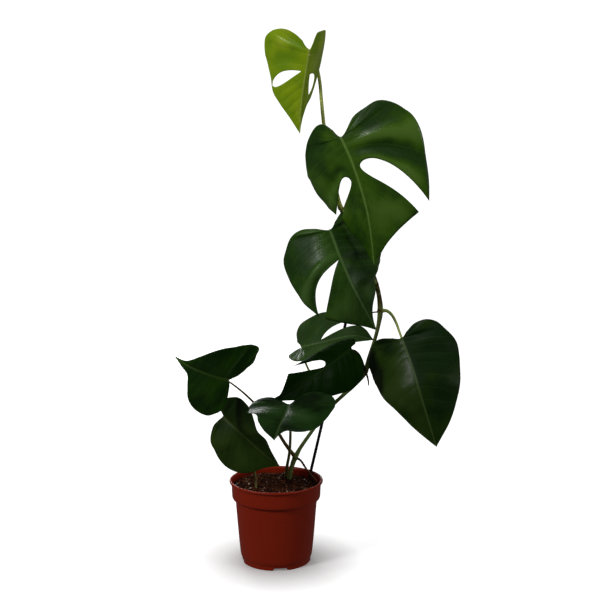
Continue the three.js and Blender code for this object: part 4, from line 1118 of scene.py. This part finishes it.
def blade(name, leaf):
    """A whole leaf: points of its middle surface, triangles that face its upper side, for each point its
    distance from the midrib, from a side vein and from the margin, its quilting, its place along the
    midrib, the rise of its pleats and its painted shade and sheen, and the leaf's length. A pleat is a
    hump across the shares of the margin, eased in from the midrib and out at the margin. A patch of
    painted shade and sheen is a hump across the shares times one between midrib and margin."""
    midrib = even_curve(leaf["midrib"], True)
    length = midrib[1][-1]
    openings = [half.get("slit") or half.get("hole") for half in (leaf["left"], leaf["right"])]
    fixed = sorted(opening["root"] for opening in openings if opening)
    s = np.arange(1, SIDE_VEINS + 1) / (SIDE_VEINS + 1)
    clearance = length / (VEIN_CLEARANCE * SIDE_VEINS)
    veins = [root for root in length * s * (BASE_CROWDING + (1 - BASE_CROWDING) * s)
             if all(abs(root - other) > clearance for other in fixed)]
    stops = sorted([0, *veins, *fixed, length])
    spans = [np.linspace(a, b, ROWS_A_VEIN, endpoint=False) for a, b in zip(stops, stops[1:])]
    roots = np.concatenate([*spans, [length]])
    points, triangles, facts = [], [], []
    for hand, side in (("left", 1), ("right", -1)):
        flat, gape, vein, share = half_rows(leaf[hand], length, roots, np.isin(roots, veins))
        place = in_space(leaf, leaf[hand], side, flat, midrib)
        rows, columns = flat.shape[:2]
        number = np.arange(rows)
        vein_rows = number[vein]
        before = vein_rows[np.clip(np.searchsorted(vein_rows, number, "right") - 1, 0, None)]
        after = vein_rows[np.clip(np.searchsorted(vein_rows, number), None, len(vein_rows) - 1)]
        to_before, to_after = (np.linalg.norm(place - place[other], axis=-1) for other in (before, after))
        between = np.sin(np.pi * to_before / np.maximum(to_before + to_after, 1e-6))
        outward = np.linalg.norm(np.diff(place, axis=1), axis=-1)
        from_rib = np.concatenate([np.zeros((rows, 1)), np.cumsum(outward, axis=1)], axis=1)
        off_rim = from_rib[:, -1:] - from_rib
        quilt = between * ramp(off_rim, QUILT_EASE) * ramp(from_rib, QUILT_EASE)
        out = from_rib / np.maximum(from_rib[:, -1:], 1e-6)
        eased = ramp(out, PLEAT_EASE["rises_to"]) ** PLEAT_EASE["power"]
        eased = eased * (1 - PLEAT_EASE["flattens_by"] * out**4)
        pleat = sum(hump((height, width), share - at) for at, width, height in PLEATS[name][hand])
        # Painted shade and sheen on this half: -1 paints shade, 1 a pale sheen.
        shade_and_sheen = sum(hump((amount, width), share - at)[:, None] * hump((1, reach), out - middle)
                   for at, width, middle, reach, amount in PAINTED_SHADE_AND_SHEEN[name][hand])
        quads = sheet_faces(rows, columns)
        if gape is not None:
            quads = quads[quads[:, 0] // columns != gape]
        quads = quads[:, ::side]
        halved = np.concatenate([quads[:, [0, 1, 2]], quads[:, [0, 2, 3]]])
        triangles.append(sum(map(len, points)) + halved)
        points.append(place.reshape(-1, 3))
        measures = (np.abs(flat[..., 1]), np.minimum(to_before, to_after), off_rim, quilt, flat[..., 0],
                    pleat[:, None] * eased, shade_and_sheen)
        facts.append(np.stack(measures, -1).reshape(-1, len(measures)))
    points, facts = np.concatenate(points), np.concatenate(facts)
    first, place = shared_places(points)
    triangles = place[np.concatenate(triangles)]
    whole = np.all(triangles != np.roll(triangles, 1, axis=1), axis=1)
    return points[first], triangles[whole], facts[first], length


def point_normals(points, triangles):
    """Unit normals at points: the sum of the area-weighted normals of the triangles round each."""
    a, b, c = (points[triangles[:, corner]] for corner in range(3))
    flat = np.cross(b - a, c - a)
    corners = triangles.ravel()
    normals = np.stack([np.bincount(corners, np.repeat(part, 3), len(points)) for part in flat.T], -1)
    return normals / np.linalg.norm(normals, axis=1)[:, None]


def leaf_finish(name, paint, gloss):
    """Waxy leaf skin: two greens in soft clouds, with painted shade in the deep green in the troughs of the
    pleats and waves and in painted shade areas, and a pale painted sheen on their crests and in painted
    sheen areas; a pale midrib, side veins that fade towards the margin, a fine net of small veins, a thin
    pale rim painted as a highlight along the margin, and a paler matt underside."""
    finish = start_finish(name)
    face, deep, underside, vein = (linear(*colour) for colour in paint)
    place = on_piece(finish)
    rib, off_vein, rim, under, fold = (
        reading(finish, key) for key in ("rib", "off_vein", "rim", "under", "fold"))
    clouds = noise(finish, place, 38, 4, 0.55, 0.4)
    # The "fold" number holds the painted shade and sheen areas and part of the pleats' and waves' height;
    # where it is low the deep green goes in as painted shade.
    tone = sums(finish, "MULTIPLY_ADD", fold, 0.3, clouds)
    net = add(finish, "TexVoronoi", {"Vector": place, "Scale": 420.0}, feature="DISTANCE_TO_EDGE").outputs[0]
    crest_sheen, net_line, side_line, rib_line, rim_highlight = (
        step_between(finish, distance, none, full)
        for distance, (none, full, _) in ((fold, CREST_SHEEN_MARK), (net, NET_MARK), (off_vein, SIDE_MARK),
                                          (rib, RIB_MARK), (rim, RIM_HIGHLIGHT_MARK)))
    side_line = sums(finish, "MULTIPLY", side_line, step_between(finish, rim, 0.0, SIDE_MARK_EASE))
    colour = blend(finish, step_between(finish, tone, 0.15, 0.85), deep, face)
    # Where "fold" is high, the veins' colour goes in as a pale painted sheen.
    for line, mark in ((crest_sheen, CREST_SHEEN_MARK), (net_line, NET_MARK), (side_line, SIDE_MARK),
                       (rib_line, RIB_MARK), (rim_highlight, RIM_HIGHLIGHT_MARK)):
        colour = blend(finish, sums(finish, "MULTIPLY", line, mark[2]), colour, vein)
    lines_below = sums(finish, "MAXIMUM", rib_line, sums(finish, "MULTIPLY", side_line, 0.5))
    below = blend(finish, lines_below, blend(finish, clouds, underside, face), vein)
    fine = noise(finish, place, 1300, 4, 0.6)
    rough = sums(finish, "MULTIPLY_ADD", fine, 0.14, 0.18)
    rough = sums(finish, "MULTIPLY_ADD", step_between(finish, tone, 0.7, 0.2), 0.25, rough)
    rough = sums(finish, "MULTIPLY_ADD", under, 0.2, rough)
    return close_finish(
        finish, {"Base Color": blend(finish, under, colour, below), "Roughness": rough,
                 "Specular IOR Level": gloss},
        sums(finish, "MULTIPLY_ADD", net_line, -0.5, fine), 0.00008)


waves = [(random_field(31, 26), 1.0), (random_field(32, 11), 0.35)]
for leaf_name, leaf in LEAVES.items():
    points, triangles, facts, length = blade(leaf_name, leaf)
    rib, off_vein, rim, quilt, along, pleat, shade_and_sheen = facts.T
    # The middle surface: quilted, grooved along the veins, pleated, and rolling gently off the midrib.
    start = 37 * len(points) % 50
    roll = sum(size * field(along + start, rib) for field, size in waves) * ramp(rib, WAVE_EASE)
    relief = QUILTING[leaf_name] * (quilt - hump(VEIN_GROOVE, off_vein) * ramp(rim, GROOVE_EASE))
    relief = relief + pleat + WAVE_HEIGHT * roll - hump(RIB_GROOVE, rib)
    surface = points + point_normals(points, triangles) * relief[:, None]
    normals = point_normals(surface, triangles)
    # The two faces: thin at the margin, with a keel under the midrib that runs out towards the tip.
    thin = THIN_MARGIN["share"]
    thick = BLADE * (thin + (1 - thin) * ramp(rim, THIN_MARGIN["reach"]))
    keel = hump(RIB_KEEL, rib) * np.clip(1 - along / length, 0.15, 1)
    keel = keel + hump(VEIN_KEEL, off_vein) * ramp(rim, KEEL_EASE)
    top = surface + normals * (thick / 2)[:, None]
    bottom = surface - normals * (thick / 2 + keel)[:, None]
    # The wall between them stands on the edges that only one triangle uses.
    count = len(points)
    edges = np.concatenate([triangles[:, [0, 1]], triangles[:, [1, 2]], triangles[:, [2, 0]]])
    single = ~np.isin(edges[:, 0] * count + edges[:, 1], edges[:, 1] * count + edges[:, 0])
    a, b = edges[single].T
    wall = np.concatenate([np.stack([a, a + count, b + count], -1), np.stack([a, b + count, b], -1)])
    faces = np.concatenate([triangles, triangles[:, ::-1] + count, wall])
    skin = leaf_finish(leaf_name + "_skin", LEAF_PAINT[leaf_name], GLOSS[leaf_name])
    piece = make_object(leaf_name.replace("leaf", "blade"), np.concatenate([top, bottom]) * MM, faces, skin)
    # The rib's distance is stretched along the leaf, so that its pale line narrows towards the tip.
    # "fold" stores the painted shade and sheen that the skin reads: the painted areas and part of the pleats'
    # and waves' height.
    stored = {"rib": rib / (RIB_NARROWS[0] - RIB_NARROWS[1] * along / length), "off_vein": off_vein,
              "rim": rim, "fold": shade_and_sheen + RELIEF_PAINTED_AS_SHADE_AND_SHEEN["pleat"] * pleat + RELIEF_PAINTED_AS_SHADE_AND_SHEEN["wave"] * roll}
    for key, values in stored.items():
        store_numbers(piece, key, np.tile(values, 2))
    store_numbers(piece, "under", np.repeat([0, 1], count))
    declare(piece, "young_leaf" if leaf_name == "leaf_1" else "leaf", leaf_name)

# Leaf stalks
# Slim stalks that carry the blades, grooved on top, a little thicker at the foot where they clasp the
# stem and again just below the blade, where the leaf turns towards the light.
STALKS = {
    "petiole_1": {
        "path": [(81, 6, 454), (78, 8, 465), (73, 14, 488), (67, 22, 519), (62, 28, 544), (59, 31, 569),
                 (57, 35, 590), (55.5, 34, 607), (53, 27, 621), (49.5, 13, 632), (46, -6, 639),
                 (43, -28, 641)],
        "radius": (2.8, 1.9), "skin": "fresh"},
    "petiole_2": {
        "path": [(84, 6, 447), (89, 3, 461), (95, -4, 480), (98, -17, 502), (95, -34, 521),
                 (85, -49, 534)],
        "radius": (2.4, 1.6), "skin": "fresh"},
    "petiole_3": {
        "path": [(126, 8, 358), (119, 2, 371), (105, -6, 388), (89, -14, 405), (77, -22, 418)],
        "radius": (2.3, 1.4), "skin": "green"},
    "petiole_4": {
        "path": [(132, 9, 324), (140, 5, 324.5), (146, 0, 320), (151, -8, 311), (154.5, -17, 301),
                 (157, -23, 294)],
        "radius": (2.3, 1.3), "skin": "green"},
    "petiole_5": {
        "path": [(69, 14, 197), (59, 18, 213), (49, 24, 230), (42, 29, 243), (37, 33, 254),
                 (35, 37, 264)],
        "radius": (2.1, 1.2), "skin": "green"},
    "petiole_6": {
        "path": [(114, 14, 245), (111, 8, 253), (108, -4, 263), (103, -17, 274), (96, -27, 280)],
        "radius": (2.1, 1.4), "skin": "dusky"},
    "petiole_7": {
        "path": [(12, 20, 84), (12, 20, 103), (14, 15, 121), (16, 9, 133), (17.5, 1, 147),
                 (18.5, -24, 180), (18, -50, 204)],
        "radius": (2.3, 1.4), "skin": "olive"},
    "petiole_8": {
        "path": [(25, 12, 132), (17, 12, 142), (9, 8, 155), (2, 0, 169), (-12, -16, 191), (-27, -32, 215),
                 (-43, -46, 234), (-53, -54, 244), (-57, -61, 248.5)],
        "radius": (2.7, 0.9), "skin": "brown"},
    "petiole_9": {
        "path": [(-25, -21, 86), (-25, -22, 103), (-26, -22, 117), (-29, -23, 131), (-41, -26, 158),
                 (-53, -26, 180), (-59, -28, 190)],
        "radius": (1.8, 1.1), "skin": "olive"},
}
STALK_STEP = 1.2
STALK_SIDES = 20
STALK_SEAT = 0.05
SEAT_GAP = 0.4
# Swellings at the foot and just below the blade, the groove on top, and the brown scars at both ends:
# each (height, width).
FOOT_SWELLING = (0.7, 5)
NECK_SWELLING = (0.25, 4)
NECK_PLACE = 5
TOP_GROOVE = (0.16, 0.45)
FOOT_SCAR = (0.9, 3)
NECK_SCAR = (0.5, 4)
stalk_skins = {
    "fresh": stem_finish("stalk_skin_fresh", (242, 250, 150), (232, 240, 124), (196, 190, 90)),
    "green": stem_finish("stalk_skin_green", (206, 222, 130), (176, 198, 104), (120, 110, 60)),
    "olive": stem_finish("stalk_skin_olive", (150, 150, 84), (150, 146, 88), (110, 84, 50)),
    "dusky": stem_finish("stalk_skin_dusky", (78, 61, 53), (61, 47, 42), (42, 28, 22)),
    "brown": stem_finish("stalk_skin_brown", (116, 98, 54), (132, 106, 58), (104, 78, 40)),
}
for stalk_name, stalk in STALKS.items():
    leaf = LEAVES[stalk_name.replace("petiole", "leaf")]
    foot, neck = stalk["radius"]
    seat = along_curve(even_curve(leaf["midrib"], True), np.array([STALK_SEAT]))[0]
    up = np.array(leaf["facing"]) / np.linalg.norm(leaf["facing"])
    stalk_line, stalk_run = smooth_line([*stalk["path"], seat - up * (neck + SEAT_GAP)], STALK_STEP)
    share, to_end = stalk_run / stalk_run[-1], stalk_run[-1] - stalk_run
    girth = foot + (neck - foot) * share**0.7
    girth = girth + hump(FOOT_SWELLING, stalk_run) + hump(NECK_SWELLING, to_end - NECK_PLACE)
    angle = np.linspace(0, 2 * np.pi, STALK_SIDES, endpoint=False)
    groove = 1 - hump(TOP_GROOVE, angle - np.pi / 2)
    stalk_rows, stalk_station, _ = tube(stalk_line, girth[:, None] * groove, STALK_SIDES)
    scar = np.clip(hump(FOOT_SCAR, stalk_run) + hump(NECK_SCAR, to_end), 0, 1)
    tube_piece(stalk_name.replace("petiole", "stalk"), stalk_rows, stalk_skins[stalk["skin"]], "stalk",
               stalk_name, **skin_attributes(stalk_station, stalk_run, angle, 1 - share, scar))
